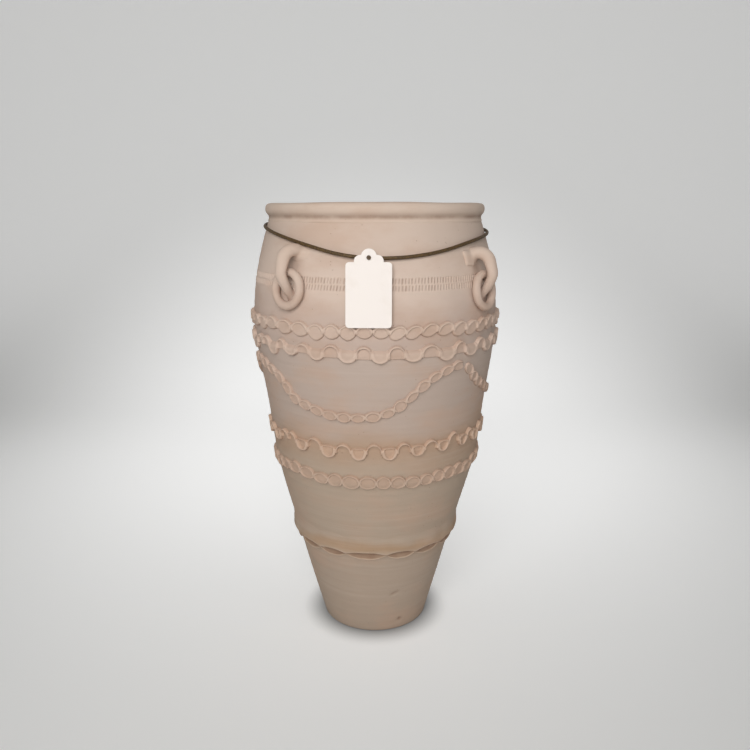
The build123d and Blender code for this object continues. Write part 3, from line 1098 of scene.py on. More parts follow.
@dataclass
class PressedRope:
    """A rope of clay pressed onto the wall lobe by lobe."""

    name: str
    nodes: tuple[str, ...]
    lobes: list[Lobe]
    path: RopePath = RopePath()
    closed: bool = True
    columns: int = 26
    rows: int = 27
    seat: float = 1.4
    knot_height: float = 5.0
    knot_lean: float = 0.0
    top_power: float = 0.8
    bottom_power: float = 0.62
    settling: float = 0.34
    dish_edge: float = 0.82
    # the height of an open dish, as a share of half its width
    disc_share: float = 0.95
    # how much faster a level dish ends over its middle than under it
    level_cut: float = 7.0
    slope_limit: float = 1.8
    tallest: float = 6.2
    end_half_height: float = 1.5
    unevenness: Ripple = Ripple(seed=5, reach=26, height=0.22)
    # how strong the dust is, and the heights between which it sets in
    dust: Triple = (0.42, 3.4, 5.2)
    under_shade: float = 0.8
    dish_shade: float = 0.25

    def knots(self) -> list[Knot]:
        """For each lobe's left end, and the last one's right end, its place and how the clay stands.

        Returns:
            The knots, in order along the rope.
        """
        between = [(self.middle(*pair), self.knot_values(*pair)) for pair in zip(self.lobes, self.lobes[1:])]
        first, second = self.lobes[:2]
        before_last, last = self.lobes[-2:]
        if self.closed:
            seam = self.middle(last, first) - FULL_TURN / 2
            values = self.knot_values(last, first)
            return [(seam, values), *between, (seam + FULL_TURN, values)]
        start = self.rope_end(first, 2 * first.along - self.middle(first, second))
        end = self.rope_end(last, 2 * last.along - self.middle(before_last, last))
        return [start, *between, end]

    @staticmethod
    def middle(before: Lobe, after: Lobe) -> float:
        """Half way between two lobes."""
        return (before.along + after.along) / 2

    def knot_values(self, before: Lobe, after: Lobe) -> Array:
        """How the clay stands between the lobe on the left and the one on the right.

        Args:
            before: The lobe on the left.
            after: The lobe on the right.

        Returns:
            Values in the order of Lobe.values.
        """
        values = (before.values() + after.values()) / 2
        middle = (values[0] + values[1]) / 2 + self.knot_lean
        half = (values[0] - values[1]) / 2 * (before.knot + after.knot) / 2
        values[:3] = middle + half, middle - half, self.knot_height
        return values

    def rope_end(self, lobe: Lobe, along: float) -> Knot:
        """The smeared end of an open rope, past its last lobe.

        Args:
            lobe: The last lobe at that end.
            along: Where the rope ends.

        Returns:
            The knot there.
        """
        middle = (lobe.top + lobe.bottom) / 2
        values = lobe.values()
        values[:3] = middle + self.end_half_height, middle - self.end_half_height, -self.seat
        return along, values

    def dish(self, lobe: Lobe, run: Array, across: Array) -> tuple[Array, Array]:
        """The dish that a fingertip left in one lobe.

        Args:
            lobe: The lobe.
            run: Places along the lobe in millimetres, from its left knot to its right one.
            across: Heights of the rope's points there.

        Returns:
            How deep the dish lies, and a mask of where it is.
        """
        press = lobe.press
        half_width = max(2.0, (run[-1] - run[0]) / 2 - press.side_rim)
        high = lobe.top - press.top_rim
        low = lobe.bottom + press.bottom_rim
        disc = min(half_width * self.disc_share, high - low)
        middle, half_height = {
            Opening.CLOSED: ((high + low) / 2, (high - low) / 2),
            Opening.BELOW: (high - disc, disc),
            Opening.ABOVE: (low + disc, disc),
            Opening.LEVEL: (high, high - low),
        }[press.opening]
        up = (across - middle) / half_height
        if press.opening is Opening.LEVEL:
            up = np.where(up > 0, up * self.level_cut, up)
        elif press.opening is Opening.BELOW:
            up = np.maximum(up, 0)
        elif press.opening is Opening.ABOVE:
            up = np.minimum(up, 0)
        side = (run - (run[0] + run[-1]) / 2) / half_width
        below = np.clip((middle - across) / max(1.0, middle - lobe.bottom), 0, 1)
        inside = 1 - ease(np.hypot(side / (1 + press.flare * below), up), self.dish_edge, 1.0)
        share = np.clip((across - lobe.bottom) / (lobe.top - lobe.bottom), 0, 1)
        return inside * (press.depth_bottom + (press.depth_top - press.depth_bottom) * share), inside

    def levels(self, top: Array, bottom: Array) -> Array:
        """The heights of the rope's rows between its two edges, closer together at the edges."""
        up = np.sin(pi / 2 * np.linspace(-1, 1, self.rows))[:, None]
        return (top + bottom) / 2 + up * (top - bottom) / 2

    def lobe_columns(self, lobe: Lobe, left: Knot, right: Knot) -> tuple[Array, ...]:
        """One lobe's columns of points, from its left knot up to its right one.

        Args:
            lobe: The lobe.
            left: The knot on its left.
            right: The knot on its right.

        Returns:
            Their places along the rope, their blended values, and the dish's depths and mask.
        """
        fine = -np.cos(pi * np.arange(self.columns) / self.columns)
        share = (fine + 1) / 2
        arch = np.clip(np.cos(pi / 2 * fine), 0, 1)
        base = left[1] + (right[1] - left[1]) * share[:, None]
        settled = ease(1 - np.abs(fine), 0.0, self.settling)
        blend = np.repeat(settled[:, None], base.shape[1], axis=1)
        blend[:, 0] = arch**self.top_power
        blend[:, 1] = arch**self.bottom_power
        own = base + (lobe.values() - base) * blend
        along = left[0] + (right[0] - left[0]) * share
        across = self.levels(own[:, 0], own[:, 1])
        run = self.path.millimetres(np.append(along, right[0]))
        depth, inside = self.dish(lobe, run, np.column_stack([across, across[:, -1]]))
        return along, own, depth[:, :-1], inside[:, :-1]

    def edge_share(self, gap: Array, edge: Array, run: Array, width: Array) -> Array:
        """How far into a rounded edge each point lies.

        Args:
            gap: Its distance over or under the edge.
            edge: The edge's heights.
            run: Places along the rope in millimetres.
            width: How wide the rounded edge is.

        Returns:
            Shares from 0 at the edge to 1 on the rope's top.
        """
        slope = np.clip(np.gradient(edge, run), -self.slope_limit, self.slope_limit)
        return np.clip(gap / np.sqrt(1 + slope**2) / width, 0, 1)

    @staticmethod
    def round_over(share: Array) -> Array:
        """A quarter-round edge."""
        return np.sqrt(np.clip(1 - (1 - share) ** 2, 0, 1))

    def build(self, finish: Finish) -> None:
        """Builds the rope.

        Args:
            finish: Its material.
        """
        ends = self.knots()
        parts = [self.lobe_columns(*each) for each in zip(self.lobes, ends, ends[1:])]
        if not self.closed:
            last, values = ends[-1]
            flat = np.zeros((self.rows, 1))
            parts.append((np.array([last]), values[None, :], flat, flat))
        along, values, depth, dished = zip(*parts)
        along = np.concatenate(along)
        depth = np.concatenate(depth, axis=1)
        dished = np.concatenate(dished, axis=1)
        top, bottom, body, edge_top, edge_bottom, fade, slant = np.concatenate(values).T

        run = self.path.millimetres(along)
        across = self.levels(top, bottom)
        over = self.edge_share(top - across, top, run, edge_top)
        over = fade * ease(over, 0, 1) + (1 - fade) * self.round_over(over)
        under = self.round_over(self.edge_share(across - bottom, bottom, run, edge_bottom))
        lean = slant * (across - (top + bottom) / 2)
        moved = along + lean * (along[-1] - along[0]) / (run[-1] - run[0])
        bearing, level = self.path.place(moved, across)
        flat = SURFACE.point(bearing, level, 0.0) / MM
        height = np.minimum(body - depth + self.unevenness.at(flat), self.tallest)
        lift = (height + self.seat) * over * under - self.seat

        strength, dust_low, dust_high = self.dust
        proud = strength * ease(lift, dust_low, dust_high)
        # painted shade under the rope's lower edge and in its dishes
        deep = self.under_shade * (1 - under) + self.dish_shade * dished
        faces = skin([len(along)] * self.rows, looped=True, closed=self.closed)
        masks = {"rim": proud, "painted_shade": deep}
        rope = mesh_object(self.name, SURFACE.point(bearing, level, lift), faces, masks)
        place(rope, Body.JAR.value, finish, self.nodes)


def all_round(seen: Sequence[Lobe], pitch: float, seed: int, group: int) -> list[Lobe]:
    """Carries a rope on round the back, past the lobes that the photo shows.

    Args:
        seen: The lobes placed after the photo, in order of bearing.
        pitch: The usual bearing from one lobe to the next.
        seed: Seed for the small differences.
        group: How many lobes make one repeat.

    Returns:
        Lobes all round the jar, in order of bearing.
    """
    draw = np.random.default_rng(seed)
    span = 360 - (seen[-1].along - seen[0].along)
    count = round(span / pitch / group) * group - 1
    step = span / (count + 1)
    lobes = list(seen)
    for index in range(count):
        like = seen[(len(seen) + index) % group + group * int(draw.integers(0, len(seen) // group - 1))]
        lobes.append(replace(
            like,
            along=seen[-1].along + step * (index + 1) + draw.uniform(-0.08, 0.08) * step,
            top=like.top + draw.uniform(-0.6, 0.6),
            bottom=like.bottom + draw.uniform(-0.6, 0.6),
        ))
    return lobes


@dataclass
class RopeWork:
    """All the pressed ropes and swags on the jar, in the order they were laid."""

    # body, depth at the top and the bottom, rims at the top, the bottom and the sides
    dish: Press = Press(5.8, 3.4, 1.6, 2.4, 0.0, 1.7, Opening.BELOW, flare=0.7, edge_bottom=2.8)
    crest: Press = Press(5.7, 4.0, 3.7, 2.5, 0.0, 1.5, Opening.BELOW, edge_bottom=1.2)
    trough: Press = Press(
        5.6, 1.3, 0.5, 0.0, 3.2, 2.2, Opening.ABOVE, edge_top=7.5, edge_bottom=2.4, fade=1.0
    )
    arch: Press = Press(5.2, 6.6, 6.6, 2.7, 0.0, 1.4, Opening.BELOW)
    pocket: Press = Press(5.4, 4.2, 3.4, 3.2, 2.4, 2.9, Opening.LEVEL)
    pearl: Press = Press(4.9, 3.2, 2.2, 1.2, 0.8, 1.5)
    swag: Press = Press(4.8, 2.9, 1.8, 1.6, 0.7, 2.4)

    # each lobe's bearing, top and bottom
    shoulder_lobes: tuple[Triple, ...] = (
        (-58.0, 537.0, 516.5), (-50.0, 540.0, 520.0), (-41.5, 538.5, 516.0), (-32.5, 538.0, 515.5),
        (-24.6, 536.5, 512.0), (-17.9, 537.0, 515.0), (-11.0, 537.0, 514.0), (-4.3, 536.5, 517.0),
        (2.3, 536.0, 517.0), (9.2, 536.0, 514.5), (15.7, 536.0, 515.0), (22.7, 538.0, 517.5),
        (30.3, 538.0, 517.5), (37.7, 537.0, 514.5), (45.0, 536.0, 513.5), (52.5, 537.0, 515.0),
        (60.0, 538.0, 515.5),
    )
    # a crest, then the trough after it
    wave_lobes: tuple[Triple, ...] = (
        (-55.5, 508.5, 492.5), (-49.5, 504.0, 482.5), (-44.2, 509.5, 493.0), (-38.4, 504.0, 486.0),
        (-31.6, 507.0, 491.5), (-25.2, 503.5, 483.5), (-18.5, 508.5, 488.5), (-11.1, 503.5, 482.0),
        (-4.6, 507.5, 487.5), (1.9, 503.5, 482.0), (8.8, 508.0, 487.5), (15.7, 503.5, 483.5),
        (23.0, 508.0, 488.0), (32.0, 503.0, 481.0), (38.2, 508.5, 489.0), (45.3, 503.0, 482.5),
        (52.5, 508.0, 488.5), (59.5, 503.5, 482.5),
    )
    # an open arch, then the filled pocket after it
    pocket_lobes: tuple[Triple, ...] = (
        (-46.3, 363.0, 344.5), (-40.0, 355.5, 336.5), (-31.0, 363.0, 344.0), (-23.7, 354.0, 334.0),
        (-15.7, 359.0, 342.0), (-8.3, 353.5, 334.0), (-1.0, 361.0, 342.5), (6.5, 355.0, 334.5),
        (13.5, 361.5, 343.0), (20.3, 355.5, 337.5), (27.3, 361.5, 343.5), (35.0, 356.5, 338.5),
        (40.7, 366.0, 347.0), (50.0, 356.5, 338.5), (54.3, 363.0, 345.0), (61.0, 356.0, 337.0),
    )
    pearl_lobes: tuple[Triple, ...] = (
        (-56.0, 310.5, 293.0), (-47.3, 313.5, 293.5), (-38.3, 311.0, 291.5), (-28.5, 306.5, 288.5),
        (-21.3, 309.0, 287.5), (-13.3, 308.5, 285.5), (-3.5, 308.0, 286.5), (3.6, 308.0, 287.0),
        (11.0, 307.5, 287.0), (18.7, 305.5, 285.0), (26.8, 306.0, 287.0), (33.3, 308.5, 288.5),
        (41.0, 309.0, 288.0), (49.5, 309.0, 288.5),
    )
    # bearing and height along the swag at the front
    swag_line: tuple[Pair, ...] = (
        (-70.5, 468.0), (-65.0, 465.0), (-58.5, 460.0), (-50.0, 452.0), (-46.0, 440.0), (-41.0, 420.0),
        (-35.0, 412.0), (-29.0, 408.0), (-22.5, 401.0), (-14.0, 399.5), (-6.0, 400.0), (1.5, 403.5),
        (8.0, 411.5), (14.0, 426.0), (20.0, 445.0), (26.5, 458.5), (34.0, 469.0), (41.5, 472.5),
    )
    peaks: Triple = (-71.5, 42.5, 165.5)
    peak_gap: float = 1.0
    swag_steps: int = 16
    swag_sag: float = 0.8
    swag_half_height: float = 7.6
    swag_pitch: float = 21.5
    swag_low: float = 399.0
    swag_peak: float = 470.5
    swag_knot: float = 0.5
    first_swag_seed: int = 61
    twist: float = 0.34
    twist_from: float = 3.0

    def row(
        self, placed: Sequence[Triple], presses: Sequence[Press], knot: float, twist: float
    ) -> list[Lobe]:
        """The lobes of one rope that the photo shows, whose presses take turns.

        Args:
            placed: Each lobe's bearing, top and bottom.
            presses: The presses in turn.
            knot: How much of the height stays at the knots.
            twist: How far the lobes right of the card lean, where the rope twisted under the hand.

        Returns:
            The lobes.
        """
        lobes = []
        for index, (bearing, top, bottom) in enumerate(placed):
            slant = twist if bearing > self.twist_from else 0.0
            lobes.append(Lobe(bearing, top, bottom, presses[index % len(presses)], knot, slant))
        return lobes

    def build_rows(self, finish: Finish) -> None:
        """Builds the four ropes that run all round.

        Args:
            finish: Their material.
        """
        shoulder = {"knot_lean": 0.8, "knot_height": 5.6, "top_power": 0.95}
        wave = {"knot_height": 5.4, "top_power": 1.0, "bottom_power": 0.55}
        pocket = {"knot_height": 5.2, "bottom_power": 0.42}
        pearl = {"knot_height": 4.6, "top_power": 0.62, "bottom_power": 0.5}
        # name, lobes, presses in turn, height kept at the knots, twist, pitch, seed, shape
        ropes = (
            ("shoulder_rope", self.shoulder_lobes, (self.dish,), 0.4, self.twist, 7.35, 41, shoulder),
            ("wave_rope", self.wave_lobes, (self.crest, self.trough), 0.66, 0.0, 6.95, 43, wave),
            ("pocket_rope", self.pocket_lobes, (self.arch, self.pocket), 0.42, 0.0, 7.2, 47, pocket),
            ("pearl_rope", self.pearl_lobes, (self.pearl,), 0.42, 0.0, 7.9, 53, pearl),
        )
        for name, placed, presses, knot, twist, pitch, seed, shape in ropes:
            lobes = all_round(self.row(placed, presses, knot, twist), pitch, seed, len(presses))
            PressedRope(f"{name}_lobes", (name,), lobes, **shape).build(finish)

    def swag_points(self, index: int) -> list[Pair]:
        """The line of one swag, counted from the one at the front, as bearings and heights.

        Args:
            index: Which swag, from 0.

        Returns:
            Places along the line, from end to end.
        """
        if index == 0:
            return list(self.swag_line)
        start = self.peaks[index] + self.peak_gap
        end = self.peaks[(index + 1) % len(self.peaks)] % 360 - self.peak_gap
        points = []
        for step in range(self.swag_steps + 1):
            share = step / self.swag_steps
            sag = (4 * share * (1 - share)) ** self.swag_sag
            height = self.swag_peak - (self.swag_peak - self.swag_low) * sag
            points.append((start + (end - start) * share, height))
        return points

    def build_swag(self, index: int, finish: Finish) -> None:
        """Builds one hanging swag, counted from the one at the front.

        Args:
            index: Which swag, from 0.
            finish: Its material.
        """
        draw = np.random.default_rng(self.first_swag_seed + index)
        path = HangingPath(self.swag_points(index))
        count = round(path.length / self.swag_pitch)
        step = path.length / count
        lobes = []
        for number in range(count):
            half = self.swag_half_height * draw.uniform(0.88, 1.12)
            shift = draw.uniform(-0.7, 0.7)
            along = step * (number + 0.5 + draw.uniform(-0.1, 0.1))
            rims = {"side_rim": draw.uniform(1.2, 2.6), "top_rim": draw.uniform(1.0, 1.8)}
            press = replace(self.swag, **rims)
            lobes.append(Lobe(along, shift + half, shift - half, press, self.swag_knot))
        name = f"festoon_{index + 1}"
        shape = {"knot_height": 5.0, "knot_lean": 0.7, "tallest": 5.6}
        PressedRope(f"{name}_lobes", (name,), lobes, path=path, closed=False, **shape).build(finish)

    def build(self, finish: Finish) -> None:
        """Builds every rope and swag.

        Args:
            finish: Their material.
        """
        self.build_rows(finish)
        for index in range(len(self.peaks)):
            self.build_swag(index, finish)


@dataclass(frozen=True)
class BandShape:
    """The section of one band at the joint: its relief, its unevenness and where dust lies on it."""

    relief: float
    unevenness: float
    rim_share: float
    rim_reach: float
    # share of the way across the band, share of the relief
    profile: tuple[Pair, ...]


@dataclass
class JointBand:
    """The swelled collar over the lower building joint, and the thin strip that gapes below it."""

    pinches: tuple[float, ...] = (
        -62.0, -40.0, -20.0, 7.5, 27.5, 49.0, 72.0, 94.0,
        118.0, 140.0, 163.0, 186.0, 208.0, 231.0, 254.0, 276.0,
    )
    steps: int = 18
    pinch_height: float = 165.8
    edge_rise: float = 4.0
    collar_reach: float = 30.0
    strip_above: float = 1.5
    strip_below: float = 3.6
    strip_drop: float = 7.8
    # how fast the strip's upper part darkens as the joint opens, and which shares of it do
    gape_shade: float = 1.6
    gape: Pair = (0.05, 0.8)
    uneven: Ripple = Ripple(seed=71, reach=34, height=0.3)
    collar: BandShape = BandShape(6.6, 1.0, 0.02, 0.07, (
        (0.10, -0.21), (0.09, 0.45), (0.045, 0.72), (0.01, 0.86), (0.0, 0.95), (0.02, 1.0), (0.07, 1.0),
        (0.14, 0.94), (0.24, 0.8), (0.36, 0.61), (0.5, 0.4), (0.65, 0.2), (0.8, 0.06), (0.92, -0.04),
        (1.0, -0.16),
    ))
    strip: BandShape = BandShape(4.6, 0.6, 0.91, 0.1, (
        (1.12, -0.3), (1.07, 0.1), (1.02, 0.55), (0.97, 0.86), (0.91, 1.0), (0.85, 0.96), (0.78, 0.7),
        (0.7, 0.42), (0.55, 0.3), (0.3, 0.26), (0.1, 0.26), (0.0, -0.3),
    ))

    def openness(self) -> tuple[Array, Array]:
        """Bearings all round, and how open the joint is there from 0 to 1.

        Returns:
            The bearings in degrees, and one share for each.
        """
        share = np.arange(self.steps) / self.steps
        opened = np.clip(1.25 * np.sin(pi * share) - 0.12, 0, 1) ** 0.8
        ends = (*self.pinches, self.pinches[0] + 360)
        bearings = [left + (right - left) * share for left, right in zip(ends, ends[1:])]
        return np.concatenate(bearings), np.tile(opened, len(self.pinches))

    def build_band(
        self, node: str, shape: BandShape, start: Array, span: Array, shade: Array, finish: Finish
    ) -> None:
        """Builds one band as a closed ring.

        Args:
            node: The frame's node that it stands for.
            shape: Its section.
            start: The heights that the section starts from.
            span: How far up or down it runs from there.
            shade: How dark the gape is.
            finish: Its material.
        """
        bearing, _ = self.openness()
        rows = []
        rims = []
        shades = []
        for share, out in shape.profile:
            height = start + span * share
            flat = SURFACE.point(bearing, height, 0.0) / MM
            lift = shape.relief * out + shape.unevenness * self.uneven.at(flat) * max(0.0, out)
            rows.append(SURFACE.point(bearing, height, lift))
            dust = max(0.0, 1 - abs(share - shape.rim_share) / shape.rim_reach)
            rims.append(np.full(bearing.shape, dust))
            shades.append(shade * (self.gape[0] < share < self.gape[1]))
        faces = skin([len(bearing)] * len(rows), looped=True)
        masks = {"rim": np.concatenate(rims), "painted_shade": np.concatenate(shades)}
        ring = mesh_object(f"{node}_clay", np.concatenate(rows), faces, masks)
        place(ring, Body.JAR.value, finish, [node])

    def build(self, finish: Finish) -> None:
        """Builds the collar and the strip.

        Args:
            finish: Their material.
        """
        _, opened = self.openness()
        edge = self.pinch_height + self.edge_rise * opened
        self.build_band("joint_collar", self.collar, edge, self.collar_reach, 0 * opened, finish)
        top = edge + self.strip_above
        bottom = self.pinch_height - self.strip_below - self.strip_drop * opened
        shade = np.clip(self.gape_shade * opened, 0, 1)
        self.build_band("joint_strip", self.strip, top, bottom - top, shade, finish)


def swept_tube(line: Array, radii: Array, side: Array, sides: int, closed: bool) -> Shell:
    """A tube along a line.

    Args:
        line: Places along it, in rows of three.
        radii: Half widths at each place, sideways and the other way, in rows of two.
        side: A direction that the tube's width keeps to.
        sides: How many corners the tube has.
        closed: Whether the line runs back to its start.

    Returns:
        Places and faces.
    """
    if closed:
        tangent = np.roll(line, -1, axis=0) - np.roll(line, 1, axis=0)
    else:
        tangent = np.gradient(line, axis=0)
    tangent /= np.linalg.norm(tangent, axis=1)[:, None]
    across = side - (tangent @ side)[:, None] * tangent
    across /= np.linalg.norm(across, axis=1)[:, None]
    other = np.cross(tangent, across)
    turn = np.arange(sides) * 2 * pi / sides
    ring = across[:, None, :] * np.cos(turn)[None, :, None] * radii[:, 0][:, None, None]
    ring = ring + other[:, None, :] * np.sin(turn)[None, :, None] * radii[:, 1][:, None, None]
    points = line[:, None, :] + ring
    return points.reshape(-1, 3), skin([sides] * len(line), looped=closed)


def smooth_line(poles: Array, count: int) -> Array:
    """A smooth line through poles.

    Args:
        poles: Places that it passes, in rows of three.
        count: How many places to give.

    Returns:
        Places along the line.
    """
    padded = np.vstack([2 * poles[0] - poles[1], poles, 2 * poles[-1] - poles[-2]])
    places = []
    for spot in np.linspace(0, len(poles) - 1 - 1e-9, count):
        index = int(spot)
        t = spot - index
        a, b, c, d = padded[index:index + 4]
        square = (2 * a - 5 * b + 4 * c - d) * t**2
        places.append(0.5 * (2 * b + (c - a) * t + square + (3 * b - a - 3 * c + d) * t**3))
    return np.array(places)


@dataclass(frozen=True)
class Smear:
    """Clay smeared out on the wall round a root, which thins out or is a flat slab with a plain edge."""

    turn: float
    rise_share: float
    half_width: float
    half_height: float
    relief: float
    slab: bool = False
    sunk: float = 1.6
    rings: int = 9
    corners: int = 40

    def shell(self, bearing: float, height: float) -> Shell:
        """Places in millimetres and faces, round a middle given by its bearing and height.

        Args:
            bearing: The middle's bearing in degrees.
            height: The middle's height in millimetres.

        Returns:
            Places and faces.
        """
        turn = np.arange(self.corners) * 2 * pi / self.corners
        corner = (np.cos(turn) ** 4 + np.sin(turn) ** 4) ** -0.25 if self.slab else 1.0
        rows = []
        for index in range(self.rings):
            share = 1 - index / self.rings
            thinned = (1 - share**8) ** 0.5 if self.slab else (1 - share**2) ** 1.15
            wide = self.half_width * share * corner * (1 + 0.09 * np.sin(3 * turn + 0.8))
            tall = self.half_height * share * corner * (1 + 0.09 * np.cos(2 * turn + 0.3))
            side = np.degrees(wide * np.cos(turn) / SURFACE.plain_radius(height))
            lift = self.relief * thinned - self.sunk
            rows.append(SURFACE.point(bearing + side, height + tall * np.sin(turn), lift) / MM)
        return np.concatenate(rows), skin([self.corners] * self.rings, looped=False)


@dataclass
class EarHandle:
    """One ear handle: a loop of rolled clay, smeared onto the shoulder at its top."""

    corner: str
    reach: float = 22.5
    voxel: float = 1.25
    softening: float = 0.6
    soft_rounds: int = 12
    steps: int = 64
    sides: int = 28
    # share of the height, share of the reach, shift towards the front in millimetres
    line: tuple[Triple, ...] = (
        (0.91, -0.55, 7.4), (0.95, -0.1, 6.4), (0.975, 0.34, 4.6), (0.955, 0.68, 2.4), (0.865, 0.92, 0.6),
        (0.72, 1.0, 0.0), (0.54, 0.99, 0.0), (0.38, 0.74, 0.3), (0.22, 0.35, 0.8), (0.08, -0.08, 1.2),
        (0.0, -0.5, 1.4),
    )
    # share of the way down the loop, half its width, half its depth
    thickness: tuple[Triple, ...] = (
        (0.0, 11.0, 9.6), (0.12, 10.4, 9.2), (0.3, 10.2, 9.2), (0.45, 9.7, 8.4), (0.55, 9.2, 7.6),
        (0.7, 8.2, 7.1), (0.86, 6.9, 6.4), (1.0, 7.6, 7.2),
    )
    # the slab is only on the jar's right side
    smears: tuple[Smear, ...] = (
        Smear(3.2, 0.9, 19.5, 14.0, 6.2),
        Smear(0.5, 0.03, 10.5, 9.0, 4.0),
        Smear(6.2, 0.87, 12.5, 13.0, 4.4, slab=True),
    )
    uneven: Ripple = Ripple(seed=83, reach=30, height=0.3)

    @property
    def bearing(self) -> float:
        """The handle's bearing."""
        return CORNERS[self.corner]

    @property
    def low(self) -> float:
        """Height where the loop meets the wall below."""
        return HANDLE_LOW + HANDLE_SHIFTS[self.corner]

    def tube(self) -> Shell:
        """The handle's rolled loop, as places in millimetres and faces.

        Returns:
            Places and faces.
        """
        outward, side = axes(self.bearing)
        poles = []
        for height_share, reach_share, shift in self.line:
            height = self.low + HANDLE_RISE * height_share
            distance = float(SURFACE.plain_radius(height)) + self.reach * reach_share
            aside = side * shift * towards_front(self.bearing)
            poles.append(outward * distance + aside + np.array([0, 0, height]))
        line = smooth_line(np.array(poles), self.steps)
        share = np.linspace(0, 1, self.steps)
        at, wide, deep = zip(*self.thickness)
        radii = np.stack([np.interp(share, at, wide), np.interp(share, at, deep)], axis=1)
        return swept_tube(line, radii, side, self.sides, closed=False)

    def one_lump(self, rough: Piece) -> bpy.types.Mesh:
        """Joins the crossing parts of a rough handle, which is used up, into one soft lump.

        Args:
            rough: The rough handle.

        Returns:
            The lump's mesh.
        """
        lump = rough.modifiers.new("lump", "REMESH")
        lump.mode = "VOXEL"
        lump.voxel_size = self.voxel * MM
        soft = rough.modifiers.new("soft", "SMOOTH")
        soft.factor = self.softening
        soft.iterations = self.soft_rounds
        shaped = bpy.data.meshes.new_from_object(rough.evaluated_get(bpy.context.evaluated_depsgraph_get()))
        bpy.data.objects.remove(rough)
        return shaped

    def build(self, finish: Finish) -> None:
        """Builds the handle as one lump of clay.

        Args:
            finish: Its material.
        """
        shells = [self.tube()]
        for smear in self.smears:
            if not smear.slab or 0 < self.bearing < 180:
                middle = self.bearing + towards_front(self.bearing) * smear.turn
                shells.append(smear.shell(middle, self.low + HANDLE_RISE * smear.rise_share))
        faces = []
        start = 0
        for points, more_faces in shells:
            faces += [tuple(start + index for index in face) for face in more_faces]
            start += len(points)
        points = np.concatenate([points for points, _ in shells])
        shaped = self.one_lump(mesh_object(f"handle_{self.corner}_rough", points * MM, faces))
        shaped.name = f"handle_{self.corner}_clay"
        places, normals = np.empty((2, len(shaped.vertices) * 3))
        shaped.vertices.foreach_get("co", places)
        shaped.vertices.foreach_get("normal", normals)
        places = places.reshape(-1, 3)
        places = places + normals.reshape(-1, 3) * self.uneven.at(places / MM)[:, None] * MM
        shaped.vertices.foreach_set("co", places.reshape(-1))
        shaped.shade_smooth()
        handle = new_object(shaped.name, shaped)
        place(handle, Body.JAR.value, finish, [f"handle_{self.corner}"])


@dataclass
class LooseRing:
    """One loose clay ring, hanging through a handle and leaning on the wall."""

    corner: str
    radius: float = 23.5
    stock: float = 13.0
    gap: float = 0.35
    pivot_share: float = 0.539
    lean: float = 8.0
    steps: int = 120
    sides: int = 32
    first_seed: int = 91
    # the lap where its roll of clay was closed: half turns round, half its width, its depth
    lap: Triple = (1.1, 0.1, 0.3)
    wobble: float = 0.22

    def build(self, finish: Finish) -> None:
        """Builds the ring, with the faint lap where its roll of clay was closed.

        Args:
            finish: Its material.
        """
        outward, side = axes(CORNERS[self.corner])
        up = np.array([0.0, 0.0, 1.0])
        lean = radians(self.lean)
        down = outward * sin(lean) - up * cos(lean)
        pivot_height = HANDLE_LOW + HANDLE_SHIFTS[self.corner] + HANDLE_RISE * self.pivot_share
        pivot_distance = float(SURFACE.plain_radius(pivot_height)) + self.stock / 2 + self.gap
        middle = outward * pivot_distance + up * pivot_height + down * self.radius
        seed = self.first_seed + list(CORNERS).index(self.corner)
        turn = np.arange(self.steps) * 2 * pi / self.steps
        line = middle + (np.outer(np.cos(turn), side) + np.outer(np.sin(turn), down)) * self.radius
        lap_turn, lap_width, lap_depth = self.lap
        lap = np.exp(-(((turn - lap_turn * pi) / lap_width) ** 2))
        half = self.stock / 2 - self.gap - lap_depth * lap + self.wobble * np.sin(3 * turn + seed)
        radii = np.stack([half, half], axis=1)
        points, faces = swept_tube(line, radii, np.cross(side, down), self.sides, closed=True)
        uneven = Ripple(seed=seed, reach=24, height=0.16).at(points)
        away = points - np.repeat(line, self.sides, axis=0)
        away /= np.linalg.norm(away, axis=1)[:, None]
        points = points + away * uneven[:, None]
        ring = mesh_object(f"ring_{self.corner}_clay", points * MM, faces)
        place(ring, f"ring_{self.corner}", finish, [f"ring_{self.corner}"])


